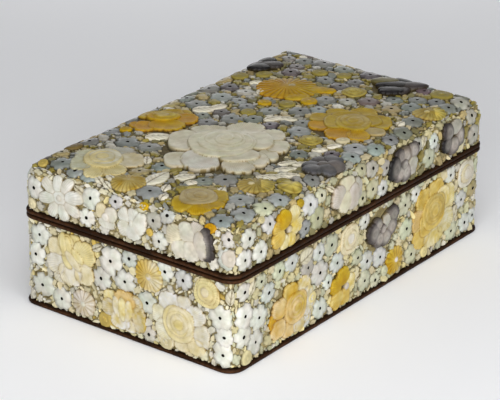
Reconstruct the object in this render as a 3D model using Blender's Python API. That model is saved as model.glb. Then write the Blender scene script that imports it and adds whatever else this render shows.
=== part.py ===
"""Inlaid box: a hollow wooden box with a lift-off lid, bedded all over with carved shell flowers.

Lengths are in metres, +Z is up, the origin is the middle of the underside, and the long front faces -Y.
"""

import math
import random

import bmesh
import bpy
from mathutils import Vector

MM = 0.001

# Wooden carcass
CARCASS_LENGTH = 243.2 * MM
CARCASS_WIDTH = 143.2 * MM
CARCASS_CORNER = 5.3 * MM
BASE_HEIGHT = 55.2 * MM
LID_HEIGHT = 28.0 * MM
LID_SHOULDER = 8.6 * MM
WALL = 5.0 * MM
FLOOR = 4.0 * MM
LID_CEILING = 4.0 * MM
INNER_CORNER = 1.0 * MM

# Locating lip of the base, and the clearance that lets the lid lift off it
LIP_THICKNESS = 2.2 * MM
LIP_HEIGHT = 3.0 * MM
LIP_CLEARANCE = 0.4 * MM

# Cement bed, edge strips and flowers
CONTACT_GAP = 0.3 * MM
BED_THICKNESS = 1.5 * MM
STRIP_HEIGHT = 2.4 * MM
STRIP_THICKNESS = 3.6 * MM
STRIP_ROUND = 0.9 * MM
FOOT_HEIGHT = 2.5 * MM
SMALL_RELIEF = 1.4 * MM
SMALL_RADIUS = 6.6 * MM
SMALL_PITCH = 17.0 * MM
SMALL_SPACING = 0.8 * MM
BED_ANCHOR = 0.5 * MM
FLOWER_ROOT = 1.0 * MM

# How far each kind of carved flower stands off the bed
RELIEF = {
    "great_peony": 5.2 * MM,
    "peony": 3.2 * MM,
    "chrysanthemum": 2.8 * MM,
    "rose": 2.8 * MM,
    "pansy": 3.4 * MM,
    "daisy": 2.8 * MM,
    "disc": 2.4 * MM,
}

# Fineness of the round stretches
CORNER_STEPS = 4
SHOULDER_STEPS = 5
LEAST_CORNER = 0.5 * MM
SMALL_SIDES = 5
SMALL_SEED = 11
SMALL_TRIES = 5

# The faces are ruled in modules: the long and the short way of the box, and up each side
LONG_MODULES = 247
SHORT_MODULES = 147
BASE_MODULES = 50
LID_MODULES = 27

# Petals, points to a petal, and rings from the rim inwards, with the height in the middle last.
# A ring is: share of the radius, share of the relief, how deep the notches cut in, how far they dip, turn
KINDS = {
    "great_peony": (9, 3, ((1.0, 0.54, 0.10, 0.2, 0), (0.74, 0.46, 0.0, 0.0, 0), (0.70, 0.70, 0.10, 0.2, 1),
                           (0.50, 0.64, 0.0, 0.0, 0), (0.46, 0.94, 0.06, 0.1, 2)), 1.0),
    "peony": (7, 3, ((1.0, 0.50, 0.13, 0.3, 0), (0.67, 0.40, 0.0, 0.0, 0), (0.61, 0.86, 0.12, 0.2, 1),
                     (0.32, 0.72, 0.0, 0.0, 0)), 1.0),
    "chrysanthemum": (8, 2, ((1.0, 0.42, 0.12, 0.5, 0), (0.40, 0.95, 0.0, 0.2, 0), (0.27, 0.70, 0.0, 0.0, 0)),
                      0.95),
    "rose": (6, 2, ((1.0, 0.50, 0.05, 0.1, 0), (0.68, 0.90, 0.0, 0.0, 0), (0.40, 0.62, 0.0, 0.0, 0)), 0.95),
    "pansy": (5, 3, ((1.0, 0.40, 0.20, 0.2, 0), (0.62, 1.0, 0.10, 0.5, 0)), 0.45),
    "daisy": (6, 2, ((1.0, 0.40, 0.42, 0.4, 0), (0.52, 0.80, 0.10, 0.5, 0), (0.20, 0.50, 0.0, 0.0, 0)), 0.95),
    "disc": (6, 2, ((1.0, 0.45, 0.08, 0.2, 0), (0.45, 0.85, 0.0, 0.2, 0)), 0.5),
}

# Carved flowers that are pieces of their own: name, face, kind, shell, place and half sizes in modules
FLOWERS = (
    ("top_white_peony", "top", "great_peony", "white", -39, -3.5, 39.5, 35),
    ("top_amber_peony", "top", "peony", "amber", -28, 49.3, 21, 16),
    ("top_yellow_peony", "top", "peony", "yellow", 37, -36.5, 27, 24),
    ("top_lemon_peony", "top", "peony", "lemon", -95.5, 36.3, 21, 19),
    ("top_amber_chrysanthemum", "top", "chrysanthemum", "amber", 60.5, 26.5, 19, 18.5),
    ("top_amber_daisy", "top", "disc", "amber", -111, 8, 10, 10),
    ("top_tan_rose", "top", "rose", "tan", -105, -36, 15, 16),
    ("top_olive_chrysanthemum", "top", "chrysanthemum", "olive", -72, -49, 10.5, 10.5),
    ("top_brown_disc", "top", "disc", "olive", -61, -64, 7.2, 7.2),
    ("top_dark_pansy", "top", "pansy", "blacklip", -26, -61.5, 15, 12),
    ("top_small_rose", "top", "rose", "olive", 0, -34, 7, 7),
    ("top_olive_rose", "top", "rose", "olive", 80, -9, 7.5, 7.5),
    ("top_black_pansy", "top", "pansy", "blacklip", 104, -22.5, 17.5, 14),
    ("top_far_black_pansy", "top", "pansy", "blacklip", 84, 61, 14, 10),
    ("top_amber_disc", "top", "disc", "amber", 80, -63, 11, 8.5),
    ("lid_left_daisy", "lid_left", "daisy", "white", -45.5, 13, 16, 12.4),
    ("lid_left_rose", "lid_left", "rose", "white", -12.5, 11, 7, 7),
    ("lid_left_white_pansy", "lid_left", "pansy", "white", 6, 11.5, 10, 10),
    ("lid_left_dark_pansy", "lid_left", "pansy", "blacklip", 45.5, 12.6, 16, 12),
    ("lid_front_chrysanthemum", "lid_front", "chrysanthemum", "amber", -77.5, 12.2, 13.5, 11.6),
    ("lid_front_white_pansy", "lid_front", "pansy", "white", -22, 12.4, 15, 11.8),
    ("lid_front_dark_pansy", "lid_front", "pansy", "blacklip", 35.5, 12.6, 16, 12),
    ("lid_front_grey_pansy", "lid_front", "pansy", "blacklip", 88, 12.6, 13.5, 12),
    ("lid_right_pansy", "lid_right", "pansy", "white", -38, 12.4, 13, 11.8),
    ("lid_right_rose", "lid_right", "rose", "lemon", 2, 11, 8, 8),
    ("lid_right_daisy", "lid_right", "daisy", "white", 41, 12.6, 14, 12),
    ("lid_back_pansy", "lid_back", "pansy", "white", -82, 12.4, 14, 11.8),
    ("lid_back_chrysanthemum", "lid_back", "chrysanthemum", "amber", -4, 12.2, 13, 11.6),
    ("lid_back_dark_pansy", "lid_back", "pansy", "blacklip", 76, 12.4, 14, 11.8),
    ("left_lemon_peony", "base_left", "peony", "lemon", -38, 32.8, 18, 16.4),
    ("left_chrysanthemum", "base_left", "chrysanthemum", "amber", 17, 39.6, 9.6, 9.6),
    ("left_amber_peony", "base_left", "peony", "amber", -0.5, 13.8, 15.5, 12.8),
    ("left_cream_peony", "base_left", "peony", "lemon", 39, 17.9, 20, 17.2),
    ("left_rose", "base_left", "rose", "white", 56.5, 40.8, 8.7, 8.7),
    ("left_daisy", "base_left", "disc", "tan", -30, 8.9, 8.2, 8.2),
    ("front_amber_peony", "base_front", "peony", "amber", -72, 17.2, 20.5, 16.6),
    ("front_chrysanthemum", "base_front", "chrysanthemum", "amber", -23, 12.3, 11.8, 11.8),
    ("front_rose", "base_front", "rose", "white", -17, 39.5, 9.5, 9.5),
    ("front_dark_pansy", "base_front", "pansy", "blacklip", 15.5, 34.6, 16.5, 13.5),
    ("front_yellow_peony", "base_front", "peony", "yellow", 71, 25.5, 23, 21.5),
    ("front_golden_disc", "base_front", "disc", "amber", 30, 9.7, 9, 8.8),
    ("front_white_rose", "base_front", "rose", "white", 105.5, 39.6, 9, 9),
    ("right_lemon_peony", "base_right", "peony", "lemon", -38, 27, 19, 18),
    ("right_chrysanthemum", "base_right", "chrysanthemum", "amber", 1, 38, 10.5, 10.5),
    ("right_rose", "base_right", "rose", "white", 6, 12, 10, 10),
    ("right_amber_peony", "base_right", "peony", "amber", 42, 22, 18, 17),
    ("back_yellow_peony", "base_back", "peony", "yellow", -78, 26, 21, 20),
    ("back_chrysanthemum", "base_back", "chrysanthemum", "amber", -36, 14, 12, 12),
    ("back_rose", "base_back", "rose", "white", -12, 38, 10, 10),
    ("back_pansy", "base_back", "pansy", "white", 26, 26, 15, 14),
    ("back_amber_peony", "base_back", "peony", "amber", 80, 25, 20, 18),
)

# Colour, roughness and metallic value of each finish
FINISHES = {
    "carcass": ((0.045, 0.028, 0.018), 0.45, 0.0),
    "strip": ((0.040, 0.022, 0.015), 0.35, 0.0),
    "bed": ((0.52, 0.45, 0.28), 0.70, 0.0),
    "white": ((0.78, 0.76, 0.68), 0.30, 0.0),
    "amber": ((0.68, 0.42, 0.08), 0.30, 0.0),
    "yellow": ((0.72, 0.56, 0.16), 0.30, 0.0),
    "lemon": ((0.76, 0.70, 0.40), 0.30, 0.0),
    "tan": ((0.50, 0.39, 0.18), 0.32, 0.0),
    "olive": ((0.38, 0.33, 0.12), 0.34, 0.0),
    "blacklip": ((0.20, 0.18, 0.19), 0.28, 0.0),
}


class RoundedBody:
    """A rounded rectangle in plan, with a rounded shoulder under a flat top if it has a top."""

    def __init__(self, offset, top=None):
        self.half_x = CARCASS_LENGTH / 2 + offset
        self.half_y = CARCASS_WIDTH / 2 + offset
        self.corner = CARCASS_CORNER + offset
        self.shoulder = LID_SHOULDER + offset
        self.top = None if top is None else top + offset

    def nearest(self, point):
        """The surface point nearest to a point outside, and the outward direction there."""
        past_x = abs(point.x) - (self.half_x - self.corner)
        past_y = abs(point.y) - (self.half_y - self.corner)
        over_x, over_y = max(past_x, 0.0), max(past_y, 0.0)
        reach = math.hypot(over_x, over_y)
        depth = reach + min(max(past_x, past_y), 0.0) - self.corner
        if reach > 0.0:
            across = Vector((over_x / reach, over_y / reach, 0.0))
        else:
            across = Vector((1.0, 0.0, 0.0)) if past_x > past_y else Vector((0.0, 1.0, 0.0))
        across.x = math.copysign(across.x, point.x)
        across.y = math.copysign(across.y, point.y)
        if self.top is None:
            return point - across * depth, across
        out, rise = depth + self.shoulder, point.z - (self.top - self.shoulder)
        far = math.hypot(max(out, 0.0), max(rise, 0.0))
        if far > 0.0:
            outward = (across * max(out, 0.0) + Vector((0.0, 0.0, max(rise, 0.0)))) / far
        else:
            outward = across if out > rise else Vector((0.0, 0.0, 1.0))
        distance = far + min(max(out, rise), 0.0) - self.shoulder
        return point - outward * distance, outward

    def wall_station(self, z):
        """Half sizes, corner radius and height of the outline at a height on the upright side."""
        return self.half_x, self.half_y, self.corner, z

    def shoulder_stations(self):
        """Outlines up the rounded shoulder, from the upright side to the flat top."""
        stations = []
        for step in range(SHOULDER_STEPS + 1):
            angle = math.pi / 2 * step / SHOULDER_STEPS
            inset = self.shoulder * (1.0 - math.cos(angle))
            rise = self.top - self.shoulder * (1.0 - math.sin(angle))
            radius = max(self.corner - inset, LEAST_CORNER)
            stations.append((self.half_x - inset, self.half_y - inset, radius, rise))
        return stations


class Face:
    """One side of the bed, ruled in modules: u runs to the right and v up, as seen from outside."""

    def __init__(self, body, middle, right, up, columns, rows, width, height):
        self.body, self.middle, self.right, self.up = body, middle, right, up
        self.columns, self.rows = columns, rows
        self.module_u, self.module_v = width / columns, height / rows
        self.module = min(self.module_u, self.module_v)

    def on_bed(self, across, along, height):
        """The point a distance right and up from the middle, laid on the bed and raised off it."""
        flat = self.middle + self.right * across + self.up * along
        point, outward = self.body.nearest(flat)
        return point + outward * height


def make_faces():
    """The five faces of the lid and the four of the base, each in its own body's height."""
    base, lid = RoundedBody(BED_OUTER), RoundedBody(BED_OUTER, LID_HEIGHT)
    length, width = 2 * base.half_x, 2 * base.half_y
    up = Vector((0, 0, 1))
    faces = {"top": Face(lid, up * lid.top, SIDES["front"], SIDES["right"],
                         LONG_MODULES, SHORT_MODULES, length, width)}
    for side, right in SIDES.items():
        outward = right.cross(up)
        away = base.half_x if abs(outward.x) > 0 else base.half_y
        columns, across = (LONG_MODULES, length) if abs(right.x) > 0 else (SHORT_MODULES, width)
        for name, body, bottom, top, rows in (("base", base, BASE_BED_BOTTOM, BASE_BED_TOP, BASE_MODULES),
                                              ("lid", lid, LID_BED_BOTTOM, lid.top, LID_MODULES)):
            middle = outward * away + up * bottom
            faces[f"{name}_{side}"] = Face(body, middle, right, up, columns, rows, across, top - bottom)
    return faces


# The sides of the box, each with the direction that runs to the right along it
SIDES = {"front": Vector((1, 0, 0)), "right": Vector((0, 1, 0)),
         "back": Vector((-1, 0, 0)), "left": Vector((0, -1, 0))}
BED_INNER = CONTACT_GAP
BED_OUTER = BED_INNER + BED_THICKNESS
BASE_BED_BOTTOM = FOOT_HEIGHT + CONTACT_GAP
BASE_STRIP_BOTTOM = BASE_HEIGHT - STRIP_HEIGHT
BASE_BED_TOP = BASE_STRIP_BOTTOM - CONTACT_GAP
LID_BED_BOTTOM = STRIP_HEIGHT + CONTACT_GAP
FACES = make_faces()


def clear_scene():
    for old in list(bpy.data.objects):
        bpy.data.objects.remove(old, do_unlink=True)


def finish_material(name, finish):
    colour, roughness, metallic = FINISHES[finish]
    material = bpy.data.materials.new(name)
    material.use_nodes = True
    shader = material.node_tree.nodes["Principled BSDF"]
    shader.inputs["Base Color"].default_value = (*colour, 1.0)
    shader.inputs["Roughness"].default_value = roughness
    shader.inputs["Metallic"].default_value = metallic
    return material


def add_object(name, shape, finish, parent=None):
    """Turn a bmesh into a named object with its own material."""
    bmesh.ops.recalc_face_normals(shape, faces=shape.faces)
    mesh = bpy.data.meshes.new(name)
    shape.to_mesh(mesh)
    shape.free()
    mesh.materials.append(finish_material(name, finish))
    piece = bpy.data.objects.new(name, mesh)
    bpy.context.collection.objects.link(piece)
    piece.parent = parent
    return piece


def add_cutter(name, shape, parent):
    """A guide solid that only shapes other pieces."""
    guide = add_object(name, shape, "bed", parent)
    guide.hide_render = True
    guide.display_type = "WIRE"
    return guide


def add_boolean(piece, other, operation):
    change = piece.modifiers.new(operation.lower(), "BOOLEAN")
    change.operation = operation
    change.solver = "EXACT"
    change.object = other


def outline(shape, station):
    """A ring of vertices round a rounded rectangle, anticlockwise seen from above."""
    half_x, half_y, radius, z = station
    ring = []
    for corner, (sign_x, sign_y) in enumerate(((1, 1), (-1, 1), (-1, -1), (1, -1))):
        for step in range(CORNER_STEPS + 1):
            angle = math.pi / 2 * (corner + step / CORNER_STEPS)
            x = sign_x * (half_x - radius) + radius * math.cos(angle)
            y = sign_y * (half_y - radius) + radius * math.sin(angle)
            ring.append(shape.verts.new((x, y, z)))
    return ring


def bridge(shape, lower, upper):
    """Faces between two rings of the same count."""
    count = len(lower)
    for index in range(count):
        after = (index + 1) % count
        shape.faces.new((lower[index], lower[after], upper[after], upper[index]))


def swept_solid(stations, closed):
    """A solid whose outline follows the stations, closed on itself or capped at both ends."""
    shape = bmesh.new()
    rings = [outline(shape, station) for station in stations]
    for lower, upper in zip(rings, rings[1:]):
        bridge(shape, lower, upper)
    if closed:
        bridge(shape, rings[-1], rings[0])
    else:
        shape.faces.new(list(reversed(rings[0])))
        shape.faces.new(rings[-1])
    return shape


def make_base_carcass():
    """The hollow base: floor, walls, and a thinner lip that stands up inside the lid."""
    body, lip, inside = RoundedBody(0.0), RoundedBody(LIP_THICKNESS - WALL), RoundedBody(-WALL)
    lip.corner = max(lip.corner, INNER_CORNER)
    inside.corner = INNER_CORNER
    stations = [body.wall_station(0.0), body.wall_station(BASE_HEIGHT), lip.wall_station(BASE_HEIGHT),
                lip.wall_station(BASE_HEIGHT + LIP_HEIGHT), inside.wall_station(BASE_HEIGHT + LIP_HEIGHT),
                inside.wall_station(FLOOR)]
    add_object("base_carcass", swept_solid(stations, False), "carcass")


def make_lid_carcass(lid):
    """The hollow lid: a ceiling, a rounded shoulder, and a rebate round the mouth for the lip."""
    body, inside = RoundedBody(0.0, LID_HEIGHT), RoundedBody(-WALL)
    rebate = RoundedBody(LIP_THICKNESS + LIP_CLEARANCE - WALL)
    rebate.corner = max(rebate.corner, INNER_CORNER)
    inside.corner = INNER_CORNER
    rebate_top = LIP_HEIGHT + LIP_CLEARANCE - CONTACT_GAP
    stations = [inside.wall_station(LID_HEIGHT - LID_CEILING), inside.wall_station(rebate_top),
                rebate.wall_station(rebate_top), rebate.wall_station(0.0), body.wall_station(0.0)]
    add_object("lid_carcass", swept_solid(stations + body.shoulder_stations(), False), "carcass", lid)


def make_strip(name, bottom, height, parent=None):
    """A strip round the box, flat behind and rounded in front."""
    back, front = RoundedBody(CONTACT_GAP), RoundedBody(CONTACT_GAP + STRIP_THICKNESS)
    shy = RoundedBody(CONTACT_GAP + STRIP_THICKNESS - STRIP_ROUND)
    top = bottom + height
    stations = [back.wall_station(bottom), shy.wall_station(bottom), front.wall_station(bottom + STRIP_ROUND),
                front.wall_station(top - STRIP_ROUND), shy.wall_station(top), back.wall_station(top)]
    add_object(name, swept_solid(stations, True), "strip", parent)


def flower_solid(face, kind, u, v, half_u, half_v):
    """A carved flower on its face: notched rings rise to the middle, and its foot runs into the bed."""
    petals, steps, rings, middle = KINDS[kind]
    count = petals * steps
    relief = RELIEF[kind]
    centre_u, centre_v = u * face.module_u, v * face.module_v
    reach_u, reach_v = half_u * face.module, half_v * face.module
    shape = bmesh.new()

    def ring(share, height, notch, dip, turn):
        made = []
        for index in range(count):
            cut = 1.0 if (index + turn) % steps == 0 else 0.0
            angle = 2 * math.pi * index / count
            radius = share * (1.0 - notch * cut)
            across = centre_u + reach_u * radius * math.cos(angle)
            along = centre_v + reach_v * radius * math.sin(angle)
            made.append(shape.verts.new(face.on_bed(across, along, height * (1.0 - dip * cut))))
        return made

    rim = rings[0]
    loops = [ring(rim[0], -FLOWER_ROOT, rim[2], 0.0, rim[4])]
    loops += [ring(share, relief * height, notch, dip, turn) for share, height, notch, dip, turn in rings]
    for lower, upper in zip(loops, loops[1:]):
        bridge(shape, lower, upper)
    crown = shape.verts.new(face.on_bed(centre_u, centre_v, relief * middle))
    for index in range(count):
        shape.faces.new((loops[-1][index], loops[-1][(index + 1) % count], crown))
    shape.faces.new(list(reversed(loops[0])))
    return shape


def small_flower(shape, face, across, along, turn):
    """A few-sided blossom with a dimple in its middle, sunk a little way into the bed."""
    rings = []
    for height in (-BED_ANCHOR, SMALL_RELIEF):
        ring = []
        for index in range(SMALL_SIDES):
            angle = turn + 2 * math.pi * index / SMALL_SIDES
            place = face.on_bed(across + SMALL_RADIUS * math.cos(angle),
                                along + SMALL_RADIUS * math.sin(angle), height)
            ring.append(shape.verts.new(place))
        rings.append(ring)
    foot, crown = rings
    bridge(shape, foot, crown)
    under = shape.verts.new(face.on_bed(across, along, -BED_ANCHOR))
    dimple = shape.verts.new(face.on_bed(across, along, SMALL_RELIEF / 2))
    for index in range(SMALL_SIDES):
        after = (index + 1) % SMALL_SIDES
        shape.faces.new((crown[index], crown[after], dimple))
        shape.faces.new((foot[after], foot[index], under))


def is_free(face_name, across, along, others):
    """Whether a small flower there keeps clear of the carved flowers and of the other small ones."""
    face = FACES[face_name]
    if any(math.hypot(across - x, along - y) < SMALL_PITCH for x, y in others):
        return False
    keep = SMALL_RADIUS + SMALL_SPACING
    for _, flower_face, _, _, u, v, half_u, half_v in FLOWERS:
        gone_u = (across - u * face.module_u) / (half_u * face.module + keep)
        gone_v = (along - v * face.module_v) / (half_v * face.module + keep)
        if flower_face == face_name and math.hypot(gone_u, gone_v) < 1.0:
            return False
    return True


def add_small_flowers(shape, face_name, margin_u, margin_low, margin_high):
    """Blossoms in rows from the lower left corner of the face, wherever the carved flowers leave room."""
    face = FACES[face_name]
    chance = random.Random(SMALL_SEED)
    right = face.columns * face.module_u / 2 - margin_u
    top = face.rows * face.module_v
    low = margin_low - (top / 2 if face_name == "top" else 0.0)
    high = top + low - margin_low - margin_high
    rows = round((high - low) / SMALL_PITCH * SMALL_TRIES) + 1
    columns = round(2 * right / SMALL_PITCH * SMALL_TRIES) + 1
    placed = []
    for row in range(rows):
        along = low + (high - low) * row / (rows - 1)
        for column in range(columns):
            across = right * (2 * column / (columns - 1) - 1)
            if is_free(face_name, across, along, placed):
                placed.append((across, along))
                small_flower(shape, face, across, along, chance.uniform(0.0, math.tau))


def make_bed(name, stations, closed, blossoms, parent=None):
    """The cement bed with its small flowers fused to it."""
    bed = add_object(name, swept_solid(stations, closed), "bed", parent)
    guide = add_cutter(name + "_blossoms", blossoms, parent)
    add_boolean(bed, guide, "UNION")


def make_base_bed():
    outer, inner = RoundedBody(BED_OUTER), RoundedBody(BED_INNER)
    stations = [inner.wall_station(BASE_BED_BOTTOM), outer.wall_station(BASE_BED_BOTTOM),
                outer.wall_station(BASE_BED_TOP), inner.wall_station(BASE_BED_TOP)]
    blossoms = bmesh.new()
    edge = SMALL_RADIUS + SMALL_SPACING
    for side in SIDES:
        add_small_flowers(blossoms, "base_" + side, outer.corner + SMALL_RADIUS, edge, edge)
    make_bed("base_bed", stations, True, blossoms)


def make_lid_bed(lid):
    outer, inner = RoundedBody(BED_OUTER, LID_HEIGHT), RoundedBody(BED_INNER, LID_HEIGHT)
    stations = list(reversed(inner.shoulder_stations())) + [inner.wall_station(LID_BED_BOTTOM),
                                                            outer.wall_station(LID_BED_BOTTOM)]
    stations += outer.shoulder_stations()
    blossoms = bmesh.new()
    edge = SMALL_RADIUS + SMALL_SPACING
    for side in SIDES:
        add_small_flowers(blossoms, "lid_" + side, outer.corner + SMALL_RADIUS, edge, edge)
    add_small_flowers(blossoms, "top", outer.shoulder, outer.shoulder, outer.shoulder)
    make_bed("lid_bed", stations, False, blossoms, lid)


def make_flowers(lid):
    """The carved flowers, each cut to the bed that it sits on."""
    clear = BED_OUTER + CONTACT_GAP
    base_body, lid_body = RoundedBody(clear), RoundedBody(clear, LID_HEIGHT)
    base_seat = [base_body.wall_station(0.0), base_body.wall_station(BASE_HEIGHT)]
    lid_seat = [lid_body.wall_station(0.0)] + lid_body.shoulder_stations()
    seats = {None: add_cutter("base_seat", swept_solid(base_seat, False), None),
             lid: add_cutter("lid_seat", swept_solid(lid_seat, False), lid)}
    for name, face_name, kind, shell, u, v, half_u, half_v in FLOWERS:
        parent = None if face_name.startswith("base") else lid
        shape = flower_solid(FACES[face_name], kind, u, v, half_u, half_v)
        flower = add_object(name, shape, shell, parent)
        add_boolean(flower, seats[parent], "DIFFERENCE")


def main():
    clear_scene()
    lid = bpy.data.objects.new("lid", None)
    lid.location.z = BASE_HEIGHT + CONTACT_GAP
    bpy.context.collection.objects.link(lid)
    make_base_carcass()
    make_base_bed()
    make_strip("base_foot_strip", 0.0, FOOT_HEIGHT)
    make_strip("base_rim_strip", BASE_STRIP_BOTTOM, STRIP_HEIGHT)
    make_lid_carcass(lid)
    make_lid_bed(lid)
    make_strip("lid_rim_strip", 0.0, STRIP_HEIGHT, lid)
    make_flowers(lid)
    bpy.context.view_layer.update()


main()
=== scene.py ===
"""Looks of the inlaid box: shell flowers, drilled blossoms, leaves and chips in a cement bed, dark strips.

Shapes are worked out in millimetres on the faces of the box and put into the mesh in metres. Colours are
linear.
"""

import math

import bpy
import numpy as np
from mathutils import Matrix, Vector


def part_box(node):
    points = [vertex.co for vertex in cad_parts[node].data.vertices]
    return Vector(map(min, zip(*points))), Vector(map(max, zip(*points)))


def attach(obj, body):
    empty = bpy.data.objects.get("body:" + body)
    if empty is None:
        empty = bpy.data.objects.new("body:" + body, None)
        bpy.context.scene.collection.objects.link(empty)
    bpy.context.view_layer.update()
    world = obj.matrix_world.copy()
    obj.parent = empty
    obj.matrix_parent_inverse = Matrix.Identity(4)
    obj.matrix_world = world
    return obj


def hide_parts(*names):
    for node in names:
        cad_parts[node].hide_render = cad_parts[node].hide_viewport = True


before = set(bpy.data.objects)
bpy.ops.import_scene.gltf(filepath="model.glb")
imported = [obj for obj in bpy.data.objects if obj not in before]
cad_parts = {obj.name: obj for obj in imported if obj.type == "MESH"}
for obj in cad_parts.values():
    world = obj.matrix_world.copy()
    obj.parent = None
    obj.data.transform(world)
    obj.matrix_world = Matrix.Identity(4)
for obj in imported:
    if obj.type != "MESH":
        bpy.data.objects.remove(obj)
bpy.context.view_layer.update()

MM = 0.001
TAU = 2 * math.pi
TINY = 1e-9
PAINT = "shell_colour"

# How the bed and the strips wrap the wooden carcass, and the step of the cement's grid
BED_DEPTH = 1.8
CARCASS_CORNER = 5.3
LID_SHOULDER = 8.6
BED_MARGIN = 0.3
STRIP_PROUD = 3.9
STRIP_BEAD = 1.1
CEMENT_STEP = 1.2

# How far each kind of flower stands off the bed, how deep a foot is bedded, and a drilled hole's radius
RELIEF = {
    "great_peony": 5.1, "peony": 3.1, "chrysanthemum": 2.7, "rose": 2.7,
    "pansy": 3.3, "daisy": 2.7, "disc": 2.3,
}
BLOSSOM_RELIEF = 1.35
BUTTON_RELIEF = 1.7
LEAF_RELIEF = 1.75
FOOT = 0.5
HOLE_RADIUS = 1.05

# Petals: the width over which an edge rounds off, how steep its side is, the evenness of its oval and of a
# bud's, the level from which it counts as a bud's, how hollow or full its face is, how deep the teeth of
# its tip cut in, and in radians how far to each side of the tip they reach and how wide each one is
EDGE_ROUND = 1.0
SIDE_SLOPE = 2.6
OVAL_POWER = 2.5
BUD_POWER = 2.0
BUD_LEVEL = 0.775
HOLLOW = -0.055
FULL = 0.09
TOOTH_DEPTH = 0.13
TOOTH_SPAN = 1.15
TOOTH_WIDTH = 0.11

# A carved flower's grid step, the rays that find its edge and the points along each, and the way in which
# its colours lean on the top, in degrees
GRID_STEP = 0.45
EDGE_RAYS = 360
RAY_POINTS = 200
TOP_LEAN = -51

# Where the random draws start: for the flowers, for the faces, and how much later for the lid's faces
FLOWER_SEED = 100
FACE_SEED = 1000
LID_SEED = 50

# The free room of a face is filled in turn with blossoms, florets and two sizes of flakes: the square
# millimetres for one try (the blossoms have a number of tries), least and most radius, gap to what is near,
# and how far it may reach under a large flower. A blossom or disc keeps a share of its radius free of others
BLOSSOM_TRIES = 2500
BLOSSOM_ROOM = (4.8, 7.4, -0.4, 0.5)
FLORET_ROOM = (9.0, 2.2, 4.6, -0.8, 0.8)
FLAKE_ROOMS = ((2.6, 1.3, 2.8, -0.6, 1.2), (1.3, 0.6, 1.3, -0.35, 0.8))
ROUND_SHARE = 0.93

# Colours of shell
TINTS = {
    "white": (0.57, 0.55, 0.48), "milk": (0.62, 0.61, 0.56), "ivory": (0.59, 0.565, 0.42),
    "cream": (0.61, 0.55, 0.37), "pink": (0.57, 0.52, 0.43), "rosy": (0.52, 0.48, 0.43),
    "grey": (0.38, 0.37, 0.33), "slate": (0.21, 0.222, 0.208), "blue": (0.3, 0.325, 0.325),
    "ice": (0.525, 0.55, 0.54), "pearl": (0.61, 0.62, 0.58), "bone": (0.565, 0.535, 0.41),
    "green": (0.49, 0.5, 0.37), "lemon": (0.62, 0.54, 0.27), "yellow": (0.53, 0.385, 0.09),
    "honey": (0.39, 0.27, 0.018), "gold": (0.44, 0.28, 0.008), "amber": (0.44, 0.235, 0.006),
    "tan": (0.4, 0.32, 0.15), "olive": (0.28, 0.23, 0.05), "moss": (0.2, 0.18, 0.08),
    "brown": (0.17, 0.12, 0.04), "mauve": (0.138, 0.121, 0.118), "hay": (0.41, 0.31, 0.085),
    "fawn": (0.47, 0.435, 0.395), "apricot": (0.56, 0.4, 0.155), "dusk": (0.06, 0.05, 0.05),
    "smoke": (0.105, 0.105, 0.118), "black": (0.014, 0.012, 0.013), "sand": (0.52, 0.46, 0.3),
    "straw": (0.54, 0.49, 0.29), "sage": (0.44, 0.44, 0.3),
}

# The drilled holes' near black, and the dark brown at the foot of the shell and in the cement's crevices,
# both painted shade with dirt; what is left of a colour under the painted shade and dirt of grooves, edges
# and feet;
# the pale inside of a black-lipped petal, the palest that a small piece may be, and how bright a dusky
# colour may be
HOLE_DIRT_AND_SHADE = (0.006, 0.005, 0.004)
GRIME_AND_SHADE = (0.050, 0.036, 0.011)
GROOVE_DIRT_AND_SHADE = (0.46, 0.35, 0.17)
BLACKLIP_PALE = (0.46, 0.425, 0.395)
BRIGHTEST = 0.85
DUSKY = 0.32

# Leaves on the top and on the sides, and their veins, whose dark also stands at each leaf's foot as painted
# shade; cement, its pale and dark patches, and what lies on the top, darker partly as painted shade; the
# strips, and their crests, lighter as rubbed lacquer and as a painted highlight
TOP_LEAF = (0.72, 0.69, 0.58)
SIDE_LEAF = (0.58, 0.55, 0.43)
LEAF_VEIN_AND_FOOT_SHADE = (0.12, 0.09, 0.04)
OCHRE = (0.27, 0.215, 0.08)
PALE_OCHRE = (0.46, 0.40, 0.21)
DARK_OCHRE = (0.10, 0.075, 0.02)
TOP_OCHRE_AND_SHADE = (0.11, 0.09, 0.045)
LACQUER = (0.022, 0.011, 0.005)
LACQUER_WEAR_AND_SHEEN = (0.060, 0.031, 0.016)

# How far a shell's red, green and blue swing from place to place
CLOUDING = {
    "white": (0.04, 0.05, 0.08), "blacklip": (0.16, 0.15, 0.15), "amber": (0.09, 0.19, 0.6),
    "yellow": (0.09, 0.16, 0.5), "lemon": (0.04, 0.07, 0.2), "tan": (0.08, 0.12, 0.25),
    "olive": (0.12, 0.15, 0.3),
}

# The main and two lesser colours of a flower whose petals aren't listed, by its shell
SHELL_TINTS = {
    "white": ("white", "milk", "cream"), "amber": ("amber", "gold", "yellow"),
    "yellow": ("yellow", "lemon", "gold"), "lemon": ("lemon", "cream", "milk"),
    "olive": ("olive", "gold", "olive"), "blacklip": ("dusk", "mauve", "black"),
}

# The tones of the small whole flowers and flakes on each face, and how common each is; those of the top and
# the lid's front run darker, partly the shells' own colour and partly painted shade
FILL_TONES = {
    "top": (("tan", "olive", "grey", "sand", "slate", "moss", "white"),
            (0.2, 0.22, 0.2, 0.07, 0.13, 0.14, 0.04)),
    "lid_front": (("sand", "straw", "tan", "sage", "grey", "moss", "olive"),
                  (0.14, 0.14, 0.2, 0.18, 0.14, 0.12, 0.08)),
    "base_front": (("sand", "straw", "green", "cream", "white", "sage", "lemon"),
                   (0.18, 0.2, 0.18, 0.18, 0.07, 0.08, 0.11)),
    "side": (("cream", "ivory", "white", "milk", "lemon", "straw", "yellow"),
             (0.26, 0.2, 0.22, 0.1, 0.09, 0.1, 0.03)),
}
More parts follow.
